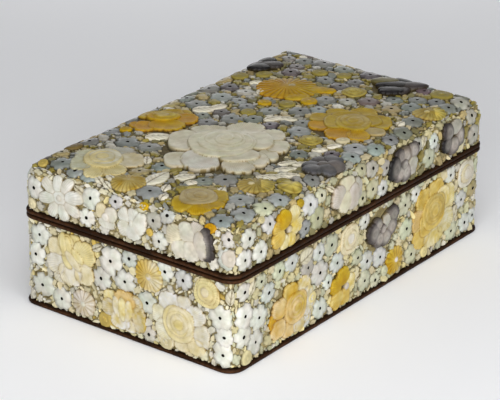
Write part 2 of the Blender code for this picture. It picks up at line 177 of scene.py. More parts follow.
# Tones of the drilled blossoms that fill the free room; on the top and the lid's front they run darker,
# partly the shells' own colour and partly painted shade
COMMON_BLOSSOMS = {
    "top": ("slate", "slate", "blue", "mauve", "tan"),
    "lid_front": ("ice", "grey", "green", "blue", "sage"),
    "base_front": ("pearl", "green", "green", "ice", "sage"),
    "side": ("pearl", "pearl", "ice", "white", "green"),
}

# The carved flowers of each face: node, kind, shell, place and half sizes on the face
FLOWERS = {
    "top": (
        ("top_white_peony", "great_peony", "white", -39, -3.5, 39.5, 35),
        ("top_amber_peony", "peony", "amber", -28, 49.3, 21, 16),
        ("top_yellow_peony", "peony", "yellow", 37, -36.5, 27, 24),
        ("top_lemon_peony", "peony", "lemon", -95.5, 36.3, 21, 19),
        ("top_amber_chrysanthemum", "chrysanthemum", "amber", 60.5, 26.5, 19, 18.5),
        ("top_amber_daisy", "disc", "amber", -111, 8, 10, 10),
        ("top_tan_rose", "rose", "tan", -105, -36, 15, 16),
        ("top_olive_chrysanthemum", "chrysanthemum", "olive", -72, -49, 10.5, 10.5),
        ("top_brown_disc", "disc", "olive", -61, -64, 7.2, 7.2),
        ("top_dark_pansy", "pansy", "blacklip", -26, -61.5, 15, 12),
        ("top_small_rose", "rose", "olive", 0, -34, 7, 7),
        ("top_olive_rose", "rose", "olive", 80, -9, 7.5, 7.5),
        ("top_black_pansy", "pansy", "blacklip", 104, -22.5, 17.5, 14),
        ("top_far_black_pansy", "pansy", "blacklip", 84, 61, 14, 10),
        ("top_amber_disc", "disc", "amber", 80, -63, 11, 8.5),
    ),
    "lid_left": (
        ("lid_left_daisy", "daisy", "white", -45.5, 13, 16, 12.4),
        ("lid_left_rose", "rose", "white", -12.5, 11, 7, 7),
        ("lid_left_white_pansy", "pansy", "white", 6, 11.5, 10, 10),
        ("lid_left_dark_pansy", "pansy", "blacklip", 45.5, 12.6, 16, 12),
    ),
    "lid_front": (
        ("lid_front_chrysanthemum", "chrysanthemum", "amber", -77.5, 12.2, 13.5, 11.6),
        ("lid_front_white_pansy", "pansy", "white", -22, 12.4, 15, 11.8),
        ("lid_front_dark_pansy", "pansy", "blacklip", 35.5, 12.6, 16, 12),
        ("lid_front_grey_pansy", "pansy", "blacklip", 88, 12.6, 13.5, 12),
    ),
    "lid_right": (
        ("lid_right_pansy", "pansy", "white", -38, 12.4, 13, 11.8),
        ("lid_right_rose", "rose", "lemon", 2, 11, 8, 8),
        ("lid_right_daisy", "daisy", "white", 41, 12.6, 14, 12),
    ),
    "lid_back": (
        ("lid_back_pansy", "pansy", "white", -82, 12.4, 14, 11.8),
        ("lid_back_chrysanthemum", "chrysanthemum", "amber", -4, 12.2, 13, 11.6),
        ("lid_back_dark_pansy", "pansy", "blacklip", 76, 12.4, 14, 11.8),
    ),
    "base_left": (
        ("left_lemon_peony", "peony", "lemon", -38, 32.8, 18, 16.4),
        ("left_chrysanthemum", "chrysanthemum", "amber", 17, 39.6, 9.6, 9.6),
        ("left_amber_peony", "peony", "amber", -0.5, 13.8, 15.5, 12.8),
        ("left_cream_peony", "peony", "lemon", 39, 17.9, 20, 17.2),
        ("left_rose", "rose", "white", 56.5, 40.8, 8.7, 8.7),
        ("left_daisy", "disc", "tan", -30, 8.9, 8.2, 8.2),
    ),
    "base_front": (
        ("front_amber_peony", "peony", "amber", -72, 17.2, 20.5, 16.6),
        ("front_chrysanthemum", "chrysanthemum", "amber", -23, 12.3, 11.8, 11.8),
        ("front_rose", "rose", "white", -17, 39.5, 9.5, 9.5),
        ("front_dark_pansy", "pansy", "blacklip", 15.5, 34.6, 16.5, 13.5),
        ("front_yellow_peony", "peony", "yellow", 71, 25.5, 23, 21.5),
        ("front_golden_disc", "disc", "amber", 30, 9.7, 9, 8.8),
        ("front_white_rose", "rose", "white", 105.5, 39.6, 9, 9),
    ),
    "base_right": (
        ("right_lemon_peony", "peony", "lemon", -38, 27, 19, 18),
        ("right_chrysanthemum", "chrysanthemum", "amber", 1, 38, 10.5, 10.5),
        ("right_rose", "rose", "white", 6, 12, 10, 10),
        ("right_amber_peony", "peony", "amber", 42, 22, 18, 17),
    ),
    "base_back": (
        ("back_yellow_peony", "peony", "yellow", -78, 26, 21, 20),
        ("back_chrysanthemum", "chrysanthemum", "amber", -36, 14, 12, 12),
        ("back_rose", "rose", "white", -12, 38, 10, 10),
        ("back_pansy", "pansy", "white", 26, 26, 15, 14),
        ("back_amber_peony", "peony", "amber", 80, 25, 20, 18),
    ),
}

# Petals of the flowers that show, from each flower's middle: x, y, half length, half width, turn in
# degrees, level of the crest as a share of the relief, teeth at the tip (below zero, ribs all round), and
# one or two colours
PETALS = {
    "top_white_peony": (
        (-8, 24, 15, 9, 37, 0.56, 0, "bone"), (-32, 9, 10.5, 8.5, 37, 0.54, 0, "bone"),
        (-26, -1.5, 14.5, 10.5, 45, 0.62, 2, "white"), (-18, -22.5, 9.5, 11, -51, 0.55, 4, "bone"),
        (-4.5, -25, 10.5, 6.5, 46, 0.56, 2, "bone"), (5, -26, 8, 5.5, 46, 0.51, 0, "bone"),
        (18, -22, 9.5, 7.5, 37, 0.54, 3, "bone"), (29, -11, 9, 7.5, 37, 0.58, 2, "bone"),
        (28, 7, 11.5, 9.5, -51, 0.56, 3, "bone"), (13, 22, 11, 8.5, -51, 0.52, 3, "bone"),
        (16.5, -10.5, 12.5, 8.5, 37, 0.71, 0, "bone"), (-8, -15.5, 11.5, 8, -35, 0.72, 0, "bone"),
        (-0.5, 2.9, 19.3, 20.3, -51, 0.78, 0, "ivory"), (2.4, 2.2, 16, 16.2, -51, 0.835, 0, "ivory"),
        (4.8, 3.9, 11.8, 12.6, -40, 0.89, 0, "ivory"), (5.0, 2.2, 8.0, 9, -60, 0.945, 0, "ivory"),
        (6.6, 4.2, 4.2, 5.0, -51, 1.0, 0, "ivory"),
    ),
    "top_yellow_peony": (
        (-4, 19, 6.5, 7, -51, 0.56, 0, "honey"), (-14, 13, 6.5, 7.5, -51, 0.54, 2, "amber"),
        (8.5, 15, 7.5, 7, -51, 0.56, 2, "honey"), (18, 3.5, 8.5, 8, -51, 0.56, 2, "honey"),
        (12, -13, 6.5, 11, -51, 0.58, 3, "honey"), (-2.4, -18.5, 6, 6, -51, 0.52, 0, "honey tan"),
        (-14, -14.5, 7, 8, -51, 0.58, 2, "amber gold"), (-18.5, -3.5, 8, 8.5, -51, 0.57, 2, "amber"),
        (-6, 8.5, 5.5, 11, -51, 0.68, 0, "honey"), (7, 8, 9, 7, -51, 0.67, 0, "honey"),
        (9, -7, 7, 9, -51, 0.68, 0, "honey"),
    ),
    "top_amber_peony": (
        (-14, 4.5, 6, 8, -51, 0.56, 2, "amber"), (-5, -5, 11, 8, -51, 0.6, 3, "amber gold"),
        (11, -7.5, 6.5, 8.5, -51, 0.57, 3, "amber"), (16, -1, 5, 6, -51, 0.52, 0, "honey"),
        (-14.5, 9, 5, 5, -51, 0.5, 0, "amber"), (4.5, 10, 11, 6, -51, 0.58, 2, "honey tan"),
        (13, 5, 7, 6, -51, 0.56, 2, "honey"),
    ),
    "top_lemon_peony": (
        (-10.5, 9.5, 6.5, 11, -51, 0.56, 2, "green"), (-15, -4, 6.5, 8.5, -51, 0.55, 2, "lemon"),
        (-8, -11.5, 7, 8, -51, 0.57, 3, "lemon"), (9, -9.5, 8, 10.5, -51, 0.56, 3, "green sand"),
        (2, 13.5, 9, 6.5, -51, 0.54, 2, "green"), (14.5, 4, 10, 6, -51, 0.55, 2, "green grey"),
    ),
    "top_amber_chrysanthemum": (
        (0, 0, 19, 17, -51, 0.5, -25, "amber honey"), (2.5, -1.5, 2.6, 2.4, -51, 1.05, 0, "tan"),
        (-8, -13, 8, 6, -51, 0.5, 0, "gold"), (8.5, -15, 9, 5.5, -51, 0.48, 0, "gold"),
    ),
    "top_amber_daisy": ((0, 0, 10, 10, -51, 0.66, -22, "hay"), (0.5, 0.5, 1.7, 1.5, -51, 1.0, 0, "tan")),
    "top_olive_chrysanthemum": (
        (0, 0, 10.5, 10, -51, 0.62, -18, "hay olive"), (-1.5, 2, 2.0, 2.0, 0, 1.05, 0, "cream"),
    ),
    "top_brown_disc": ((0, 0, 7.2, 7, -51, 0.78, -5, "olive"), (0, 0, 1.2, 1.2, 0, 0.82, 0, "black")),
    "top_amber_disc": ((0, 0, 11, 8.3, -30, 0.62, -18, "hay olive"), (-2, 1, 1.8, 1.6, 0, 1.1, 0, "lemon")),
    "left_lemon_peony": (
        (9, 6.4, 8, 7.5, 0, 0.62, 2, "lemon"), (-4, 9.4, 6, 6, 0, 0.6, 0, "lemon"),
        (-11.5, 5.4, 6, 5.5, 0, 0.58, 0, "cream"), (-11.5, -4.6, 7, 6.5, 0, 0.6, 2, "white cream"),
        (-1, -8.6, 9, 7, 0, 0.62, 3, "cream milk"), (9, -5.6, 7, 7, 0, 0.64, 2, "cream"),
        (1.5, 11.5, 5, 4.5, 0, 0.52, 0, "lemon"), (-8, -11.5, 6, 4.5, 0, 0.52, 0, "white"),
        (-5.5, 8.4, 7.5, 2.6, 97, 0.8, 0, "lemon"), (-1.5, 7.8, 7, 2.4, 104, 0.76, 0, "lemon"),
        (1, 0.6, 7.5, 2.9, -42, 0.84, 0, "cream"), (4.5, 3.8, 5.5, 2.4, -40, 0.78, 0, "lemon"),
        (-3, -1, 5, 3, -60, 0.77, 0, "lemon"),
    ),
    "left_amber_peony": (
        (0.5, 6.4, 8, 5.5, 0, 0.66, 2, "apricot"), (-10, 4.9, 5, 4.5, 0, 0.56, 0, "lemon"),
        (-10.5, -1, 5.5, 5.5, 0, 0.6, 0, "sand"), (-9, -9, 7.5, 3.8, -10, 0.52, 2, "yellow"),
        (10.5, -2.6, 5, 8.5, 8, 0.58, 2, "apricot sand"), (-2.5, -7, 7, 5.5, 0, 0.64, 2, "cream white"),
        (4, -8.6, 5, 4, 0, 0.56, 0, "cream"), (7.5, 6, 5.5, 5, 0, 0.6, 0, "apricot sand"),
        (-4.6, 0.6, 3.0, 6.4, 14, 0.78, 0, "cream"), (-0.8, 0.4, 2.9, 7, 4, 0.82, 0, "lemon"),
        (3.2, 0.2, 3.0, 6.6, -8, 0.78, 0, "cream"),
    ),
    "left_cream_peony": (
        (-8, 10.5, 7.5, 6, 0, 0.56, 2, "milk"), (2, 12.2, 5, 4.5, 0, 0.54, 0, "white"),
        (10, 7, 6.8, 6, 0, 0.6, 2, "milk"), (14.5, -3.7, 5.5, 7, 0, 0.56, 2, "white"),
        (10.5, -11, 6.5, 5.5, 0, 0.55, 2, "cream"), (1.5, -12.5, 6, 4.5, 0, 0.53, 0, "cream"),
        (-10, -12.5, 6.5, 4.5, 0, 0.5, 0, "cream"), (-14.5, 1.3, 5.5, 6, 0, 0.58, 2, "ivory"),
        (-11, -6.5, 6.5, 6.5, 0, 0.6, 2, "ivory milk"),
    ),
    "left_chrysanthemum": (
        (0, 0, 9.6, 9.6, 0, 0.58, -19, "yellow cream"), (0.5, 0, 1.8, 2.0, 0, 1.04, 0, "pink"),
    ),
    "left_daisy": ((0, 0, 8.2, 8, 0, 0.58, -13, "rosy pink"), (0.5, 0, 1.6, 1.6, 0, 1.08, 0, "pearl")),
    "front_amber_peony": (
        (-12, -8, 7, 6, 0, 0.56, 2, "apricot"), (-11, 4, 7, 6, 0, 0.6, 2, "apricot yellow"),
        (-1, 10.5, 7, 5.5, 0, 0.58, 2, "yellow"), (11, 10, 6.5, 6, 0, 0.56, 2, "cream"),
        (15, 0, 5.5, 10, 0, 0.54, 3, "white"), (-2, -11.5, 6.5, 5, 0, 0.54, 2, "apricot"),
        (7, -12, 6, 4.5, 0, 0.55, 2, "sand"), (13, -9, 5.5, 5, 0, 0.5, 0, "white"),
        (-16, -2, 4.5, 5, 0, 0.5, 0, "amber"),
    ),
    "front_yellow_peony": (
        (-12, 12.5, 8, 7, 0, 0.58, 2, "yellow"), (1, 15, 8.5, 6.5, 0, 0.6, 2, "yellow"),
        (-16.5, 0.7, 7, 7.5, 0, 0.55, 2, "apricot"), (15, 5.5, 7.5, 9, 0, 0.56, 2, "lemon"),
        (-13, -11, 9, 7.5, 0, 0.56, 3, "yellow lemon"), (0, -15, 11, 6.5, 0, 0.55, 3, "lemon"),
        (13, -8.5, 9, 8, 0, 0.6, 2, "lemon straw"), (-8, -4, 8, 8, 0, 0.68, 0, "yellow"),
        (8, 8, 8, 7, 0, 0.67, 0, "yellow lemon"),
    ),
    "front_golden_disc": (
        (0, 0, 9, 8.8, 0, 0.6, -14, "gold yellow"), (0.5, 0.5, 1.7, 1.7, 0, 1.1, 0, "pink"),
    ),
    "front_chrysanthemum": (
        (0, 6.5, 6.4, 5.6, 10, 0.7, 2, "gold"), (-6.5, 2.5, 5.6, 5.4, 0, 0.66, 2, "gold"),
        (-5.5, -6, 6.4, 5.6, 35, 0.68, 2, "yellow"), (2, -6.5, 5.6, 5.4, 0, 0.64, 2, "yellow"),
        (7.5, 0, 5, 6.4, 0, 0.6, 2, "yellow lemon"), (3, -0.5, 2.0, 2.0, 0, 0.95, 0, "rosy"),
    ),
    "lid_left_daisy": (
        (9.5, 2.2, 7, 4.0, 12, 0.72, 1, "pearl"), (4, 8.2, 5.8, 3.6, 62, 0.66, 1, "milk"),
        (-2.5, 8.0, 5.6, 3.6, 104, 0.7, 1, "pearl"), (-8.5, 5.0, 6, 3.6, 150, 0.64, 1, "milk"),
        (-9.5, -2, 6.6, 3.8, -168, 0.7, 1, "pearl"), (-5, -7.6, 5.6, 3.8, -122, 0.66, 1, "milk"),
        (2, -8, 5.4, 3.8, -76, 0.7, 1, "pearl"), (8.2, -4.6, 6.2, 3.8, -30, 0.68, 1, "milk"),
        (-0.5, 0, 5.2, 4.8, 0, 0.6, 0, "pearl"), (-0.5, 0, 1.9, 1.8, 45, 0.86, 0, "milk"),
    ),
    "lid_left_rose": (
        (0.5, -3, 6, 4.5, 0, 0.7, 2, "milk"), (3.5, 2, 4.5, 4.5, 0, 0.8, 0, "white"),
        (-3.5, 2.5, 4, 4.5, 0, 0.74, 0, "cream"), (0, 0, 2.5, 2.5, 0, 0.98, 0, "milk"),
    ),
    "lid_left_white_pansy": (
        (5.5, 1.5, 4.6, 7, -20, 0.82, 3, "milk"), (0.8, -4.2, 5, 5.6, -80, 0.78, 3, "pearl"),
        (-5.2, -3, 4.8, 5.2, -150, 0.74, 2, "milk"), (-5.5, 3.8, 4.5, 4.2, 140, 0.68, 0, "pearl"),
        (0.5, 4.5, 4.5, 4.5, 90, 0.62, 0, "pearl"), (0, 0.5, 1.6, 2.6, 0, 0.86, 0, "milk"),
    ),
    "lid_left_dark_pansy": (
        (-11, 0.5, 5.5, 6.5, 0, 0.7, 2, "bone"), (-7, -5.6, 5.5, 5.5, 0, 0.76, 2, "white"),
        (1, -5.5, 6.5, 5.8, 0, 0.8, 3, "white"), (10.5, 0.5, 5.5, 9.5, 8, 0.7, 3, "dusk"),
        (7.6, -0.4, 4.6, 8.0, 12, 0.82, 2, "rosy"), (-2.5, 4.5, 6.5, 5.5, 0, 0.6, 0, "white"),
        (4, 8, 5, 3.5, -20, 0.62, 0, "rosy"),
    ),
    "lid_front_chrysanthemum": (
        (-3, 5.5, 6.5, 5.5, 20, 0.72, 2, "gold"), (-8, -3.6, 6, 5.5, 35, 0.7, 2, "yellow"),
        (-2.5, -7.5, 4.2, 4.5, 0, 0.6, 0, "lemon"), (3.5, -7.5, 4.2, 4.5, 0, 0.62, 0, "lemon"),
        (8, -1, 5.8, 5, 0, 0.62, 2, "lemon"), (6.5, 6, 5.5, 4.5, 30, 0.6, 0, "lemon"),
        (-8.5, 2.5, 4.5, 4, 0, 0.62, 0, "yellow"), (1.2, -1, 2.0, 2.0, 0, 0.95, 0, "pink"),
    ),
    "lid_front_white_pansy": (
        (-8, 1.5, 6.8, 6.5, 0, 0.72, 3, "fawn"), (-2.5, -3, 6.5, 6.5, 0, 0.8, 3, "bone"),
        (6, -2, 6, 8, 0, 0.76, 3, "fawn"), (10.5, 0.5, 4.5, 7, 0, 0.62, 2, "grey"),
        (1, 6.5, 7, 4.5, 0, 0.6, 0, "bone"),
    ),
    "lid_front_dark_pansy": (
        (-10, 0, 6, 7, 0, 0.76, 3, "black"), (-5, -4.5, 4.6, 5.2, -60, 0.78, 3, "mauve"),
        (1.5, -5.5, 5.4, 5.4, -60, 0.76, 3, "mauve"), (8.5, -3, 5, 6, -20, 0.72, 3, "grey"),
        (10.5, 6, 5, 4.6, 0, 0.68, 2, "mauve"), (1.5, 5.5, 6, 5, 0, 0.6, 0, "brown mauve"),
        (-3.5, 6, 5, 4.4, 0, 0.64, 2, "dusk"), (-1, 0.5, 4, 3.4, 0, 0.82, 0, "mauve"),
    ),
    "lid_front_grey_pansy": (
        (-6, 5.5, 5.5, 5.2, 0, 0.8, 3, "dusk"), (-7.5, -2, 5.2, 5.4, 0, 0.78, 3, "black"),
        (0.5, -4.8, 6.3, 5.5, 0, 0.76, 3, "mauve"), (7.5, -1, 4.5, 6.5, 0, 0.72, 3, "mauve"),
        (8, -8, 4.5, 3.4, 0, 0.6, 0, "cream"), (4, 6, 5.6, 4.5, 0, 0.66, 2, "grey"),
    ),
    "front_dark_pansy": (
        (-10, 0.5, 6.2, 6.4, 190, 0.78, 3, "dusk"), (-5.5, 4, 5, 4.4, 130, 0.74, 2, "mauve"),
        (-4.5, -5, 5, 5.4, -110, 0.8, 3, "mauve"), (2.8, -6, 5, 5.6, -70, 0.82, 3, "mauve"),
        (9, -1, 5, 5.4, -10, 0.78, 3, "mauve"), (11, 6.5, 5, 5.6, 40, 0.72, 3, "dusk"),
        (4.5, 3.5, 4.6, 4.6, 80, 0.62, 0, "grey"), (-1, 0.5, 3.6, 3.2, 0, 0.84, 0, "mauve"),
    ),
    "top_black_pansy": (
        (0, 1, 11, 5, -51, 0.8, 3, "black"), (7, -9, 9, 5, -51, 0.78, 3, "dusk"),
        (-9, -3, 8, 5.5, -51, 0.76, 3, "black"), (2, 8.5, 8.5, 4.5, -51, 0.9, 0, "moss"),
        (-4, -7, 6, 5, 0, 0.6, 0, "dusk"), (11, 1, 5, 6, 0, 0.6, 0, "black"),
    ),
    "top_dark_pansy": (
        (-9, 1, 5.6, 6, 0, 0.74, 3, "smoke"), (-3.5, -5, 5.4, 5.6, 0, 0.78, 3, "smoke"),
        (4.5, -5.5, 5.4, 5.6, 0, 0.76, 3, "mauve"), (9.5, 0.5, 4.6, 6, 0, 0.72, 3, "smoke"),
        (4, 6, 5.4, 4.6, 0, 0.62, 2, "dusk"), (-4, 6, 5.4, 4.6, 0, 0.64, 2, "smoke"),
        (0, 0.5, 3.4, 3.2, 0, 0.84, 0, "mauve"),
    ),
    "top_far_black_pansy": (
        (-6, 0, 7, 5.5, -51, 0.78, 3, "black"), (3, -4, 7, 5, -51, 0.74, 3, "dusk"),
        (7, 3, 6, 5, -51, 0.76, 3, "black"), (-1, 5, 6.5, 4, -51, 0.7, 2, "dusk"),
    ),
    "top_tan_rose": (
        (-9, 4, 6.5, 9, -51, 0.6, 2, "honey"), (-9, -7.5, 7.5, 6.5, -51, 0.56, 2, "gold"),
        (-1.5, -10.5, 6.5, 6, -51, 0.56, 2, "gold"), (8.5, -6, 6, 9, -51, 0.58, 2, "honey"),
        (6, 9, 8, 7, -51, 0.56, 2, "olive"),
    ),
}

# Buds: x, y, half length, half width and turn of the outermost oval, its level, and the colours from
# outside in
BUDS = {
    "top_yellow_peony": (0.3, -1.5, 10.5, 13, -51, 0.8, ("honey", "hay", "honey", "hay", "honey")),
    "top_amber_peony": (3.6, 4.6, 10, 6.8, -51, 0.8, ("gold", "honey", "honey tan")),
    "top_lemon_peony": (0.4, 3, 11, 13.5, -51, 0.8, ("lemon", "ivory", "lemon", "ivory", "lemon")),
    "left_cream_peony": (-1, -0.7, 10.8, 10.8, 0, 0.72,
                         ("lemon cream", "cream", "cream lemon", "cream", "cream", "lemon")),
    "front_amber_peony": (3.5, 0, 10.3, 9.6, 0, 0.72,
                          ("apricot", "yellow", "apricot", "yellow", "apricot", "yellow")),
    "front_yellow_peony": (-1, 1.7, 12.5, 11.5, 0, 0.72,
                           ("yellow", "yellow hay", "yellow", "yellow", "hay yellow", "yellow")),
    "top_tan_rose": (1, 1.5, 10.5, 11, -51, 0.7, ("tan", "tan", "tan", "tan")),
    "left_rose": (0, 0, 8.7, 8.7, 0, 0.62, ("lemon", "lemon", "lemon", "lemon", "cream")),
    "front_rose": (0, 0, 9.5, 9.3, 0, 0.62, ("cream", "cream", "cream", "cream", "milk")),
}

# The drilled blossoms that show in the photo: place, radius and tone; the tones on the top and the lid's
# front run darker, partly the shells' own colour and partly painted shade
BLOSSOM_PLACES = {
    "top": (
        (-112, 54.5, 7.5, "slate"), (-66, 46, 8, "slate"), (-64, 32, 7.5, "slate"), (-14, 30, 6.5, "slate"),
        (0, 22.5, 7, "slate"), (5.5, 52.5, 7.5, "slate"), (5, 33.8, 6, "mauve"), (40.6, 42.7, 6.5, "grey"),
        (85, 41.7, 6.5, "mauve"), (24.5, 12.8, 7.2, "slate"), (34.7, -1.8, 6.8, "slate"),
        (20, -14, 6.2, "slate"), (8.5, -19.8, 7.5, "blue"), (-20.4, -40.5, 5.5, "slate"),
        (60, -2.4, 7, "slate"), (66, -13.8, 5.5, "grey"), (73.3, -24.5, 6.8, "mauve"),
        (84.3, 4, 6.5, "mauve"), (95, 0.6, 6, "mauve"), (85.5, -34, 6, "slate"), (93, -45.8, 6.2, "slate"),
        (81.3, -48.5, 6.5, "slate"), (98, -56, 5.5, "slate"), (95.5, -66, 6.5, "slate"),
        (108, -67, 7, "grey"), (62.6, -62.3, 7, "slate"), (46, -67.5, 7, "slate"), (32, -67.5, 6, "slate"),
        (7, -59.8, 7.5, "blue"), (16, -68.5, 7.5, "blue"), (-84, -22.4, 6.2, "slate"),
        (-75.7, -30.8, 7.5, "slate"), (-92, -53.5, 8.2, "blue"), (-105, -65.5, 8, "blue"),
        (-119, -61, 7, "blue"), (-90.5, -69.5, 7.5, "green"), (-76.5, -69, 7.5, "blue"),
        (-113, -8.6, 8, "blue"), (-95.4, 13.2, 6.2, "tan"), (-116, 42, 6, "blue"), (-117, 31, 5.5, "blue"),
    ),
    "lid_left": (
        (-65, 14, 6.2, "pearl"), (-24, 18.5, 7, "pearl"), (-27, 6.2, 6, "pearl"), (68.5, 8.5, 6.5, "pearl"),
        (24, 6.5, 6, "pearl"), (20, 17.5, 5.5, "grey"), (-7, 21, 5, "ice"), (70, 20, 5.6, "pearl"),
    ),
    "base_left": (
        (-61.5, 42, 7, "pearl"), (-65, 29, 7, "pearl"), (-60.5, 11.2, 8.5, "pearl"), (-46, 7, 7, "pearl"),
        (-10, 40.5, 8.6, "pearl"), (-17, 28, 7.2, "pearl"), (0, 31, 7.2, "pearl"), (15.5, 22.8, 7, "pearl"),
        (40.5, 43.7, 6.2, "ice"), (65.5, 29, 8, "pearl"), (67.5, 7.5, 8, "pearl"), (3, 45.6, 5.6, "ice"),
        (28, 45.2, 6, "pearl"), (68, 18, 6.6, "pearl"), (-74, 20, 6, "pearl"),
    ),
    "lid_front": (
        (-111, 17.5, 6.4, "pearl"), (-115, 6.5, 6.6, "pearl"), (-101, 6.5, 6.5, "pearl"),
        (-56, 18.3, 7, "ice"), (-49, 8, 7, "sage"), (5, 7.3, 6.2, "sage"), (5, 19.8, 6, "grey"),
        (63.5, 7.5, 6.8, "green"), (68, 17, 5, "ice"), (113, 7, 6.6, "grey"), (-93, 19.5, 6, "ice"),
        (110, 20, 5.5, "grey"), (-60, 5.5, 5.5, "blue"), (18, 16, 5.4, "grey"), (52, 20, 5, "grey"),
    ),
    "base_front": (
        (-114, 28.7, 8, "pearl"), (-115, 16.7, 7, "pearl"), (-101.5, 23.2, 7.8, "pearl"),
        (-104.5, 9.7, 7.6, "pearl"), (-93, 34.7, 6.5, "ice"), (-83.5, 44.2, 6, "green"),
        (-72, 44.7, 6, "ice"), (-34.5, 42.2, 7, "green"), (-45.5, 29.2, 8, "pearl"),
        (-28.5, 29, 6.8, "ice"), (-44.5, 7, 7, "pearl"), (1.5, 19.2, 6.5, "ice"), (14.5, 17.2, 7, "ice"),
        (0, 7.5, 6.8, "green"), (39.5, 41.2, 7.4, "green"), (48, 7, 6.6, "green"), (88.5, 44, 6, "pearl"),
        (92, 6.6, 7, "green"), (107, 7, 6.6, "ice"), (102, 23.7, 6, "ice"), (114.5, 27.2, 6, "tan"),
        (115.5, 9, 5, "ice"), (-57, 36.5, 6, "grey"), (-57.5, 4.5, 4.5, "ice"), (-114.5, 43, 6, "pearl"),
    ),
}

# Leaves: place, length, width and the way they point, in degrees from the right
LEAVES = {
    "top": (
        (-49, 37.5, 16, 12, -45), (-97, -0.5, 21, 12, 2), (-86, -11, 13, 9, -30), (-90.5, -19, 8, 7, -51),
        (-88, -38, 8, 6, 20), (-80, 20.5, 10, 6, 37), (2, 44, 15, 11, -40), (10, 39.5, 12, 8, -20),
        (15, 3.5, 13, 8, -25), (20, -3.5, 12, 7, -65), (-55, -49.5, 15, 7, -62), (-49, -53.5, 15, 7, -50),
        (-60, -45, 9, 6, -75), (-43, -47.5, 14, 6.5, -38), (-35, -43, 13, 6, -28), (-31, -50, 12, 6, -45),
        (-117, 24, 9, 5, 60), (-112, 20, 9, 5, 70), (-119, 17, 9, 5, 60), (-8, -46, 10, 6, -45),
        (2, -49, 10, 6, -30), (47, 36, 10, 6, 20), (57, 47, 9, 6, -45), (55, -59, 7, 6, 0),
        (-114, -19, 7, 6, 0), (-104, -12.5, 9, 6, 20),
    ),
    "base_front": ((94, 17, 12, 8, 60), (-58, 44, 12, 11, 20), (-108, 43.5, 9, 6, 60)),
    "base_left": ((72, 42, 10, 8, 80), (27, 5, 10, 6, -30), (-20, 45.5, 8, 5, 30)),
    "lid_left": ((-33, 21, 9, 5, 160), (11, 22.5, 9, 7, 20), (-55, 22, 8, 5, 60)),
    "lid_front": ((57, 20, 8, 5, 60), (-36, 21, 8, 4, 140)),
}

# Small plain discs of coloured shell: place, radius and tone
BUTTONS = {
    "top": (
        (32.6, 22.8, 4.6, "gold"), (39.2, 11, 5.5, "olive"), (51, 3.5, 6, "gold"), (14, 20.7, 5.5, "olive"),
        (71.5, 51.9, 5.6, "olive"), (72.8, 4.2, 4.6, "gold"), (95.2, 27, 5.6, "olive"),
        (110, -52, 7.5, "olive"), (-52, 59, 4, "gold"), (-118, 64, 3.6, "hay"), (-100, -20, 3.5, "olive"),
        (-90, 66, 6, "brown"), (-57, -56.5, 4, "olive"), (12, -48, 4.5, "cream"), (100, 12, 5, "olive"),
        (60, 62, 6, "olive"),
    ),
    "lid_left": (
        (12, 24, 3.5, "gold"), (17.5, 10, 2.4, "yellow"), (-33.5, 14, 2.6, "amber"), (71, 9, 5.4, "rosy"),
        (57, 23.5, 4, "amber"), (-67, 4, 3.4, "cream"),
    ),
    "base_left": ((-14.5, 3.5, 5.0, "hay"), (29, 3.4, 5, "sand")),
    "lid_front": ((-98, 24.5, 3, "straw"), (-64, 22, 3.2, "honey")),
    "base_front": (
        (-112, 3, 5, "straw"), (-52.5, 17, 3.8, "lemon"), (62, 3.5, 4, "lemon"), (20, 6.5, 3.6, "green"),
    ),
}

# The photograph's view in degrees and metres, and the lights: name, place, aim, size, power, colour, spread
VIEW_AZIMUTH, VIEW_ELEVATION, VIEW_ROLL = -53.434, 23.31, 0.855
VIEW_TARGET, VIEW_DISTANCE = (-3.273, 5.794, 40.0), 1324.8
VIEW_LENS, VIEW_SENSOR, VIEW_NEAR = 163.13, 36.0, 0.01
LIGHTS = (
    ("key", (-1.35, -0.7, 0.55), (-0.05, -0.02, 0.04), (1.1, 0.8), 17.5, (1.0, 0.998, 1.0), 180),
    ("fill", (-0.35, -1.35, 0.45), (-0.05, -0.02, 0.04), (1.1, 0.8), 8.3, (1.0, 0.998, 1.0), 180),
    ("overhead", (-0.5, -0.5, 1.5), (-0.1, -0.1, 0), (1.4, 1.4), 9.5, (1.0, 0.995, 1.0), 180),
    ("rear", (1.5, 1.2, 0.35), (0, 0, 0.04), (1.0, 0.5), 3.0, (1.0, 1.0, 1.0), 180),
    ("far_floor", (1.0, 0.8, 0.8), (0.85, 0.68, 0.0), (0.8, 0.5), 2.2, (1.0, 1.0, 1.0), 60),
)

# The floor in metres, from the middle of the view: where it starts, begins to curve up and ends, its half
# width, the radius of the curve and how far the curve goes. Its colour, and the surround's with its strength
FLOOR_NEAR, FLOOR_FLAT, FLOOR_FAR, FLOOR_WIDE, FLOOR_BEND, FLOOR_CURL = -2.0, 1.6, 4.0, 4.0, 1.2, 1.8
FLOOR_COLOUR, SURROUND, SURROUND_STRENGTH = (0.95, 0.955, 0.965, 1.0), (0.66, 0.67, 0.70, 1.0), 0.32


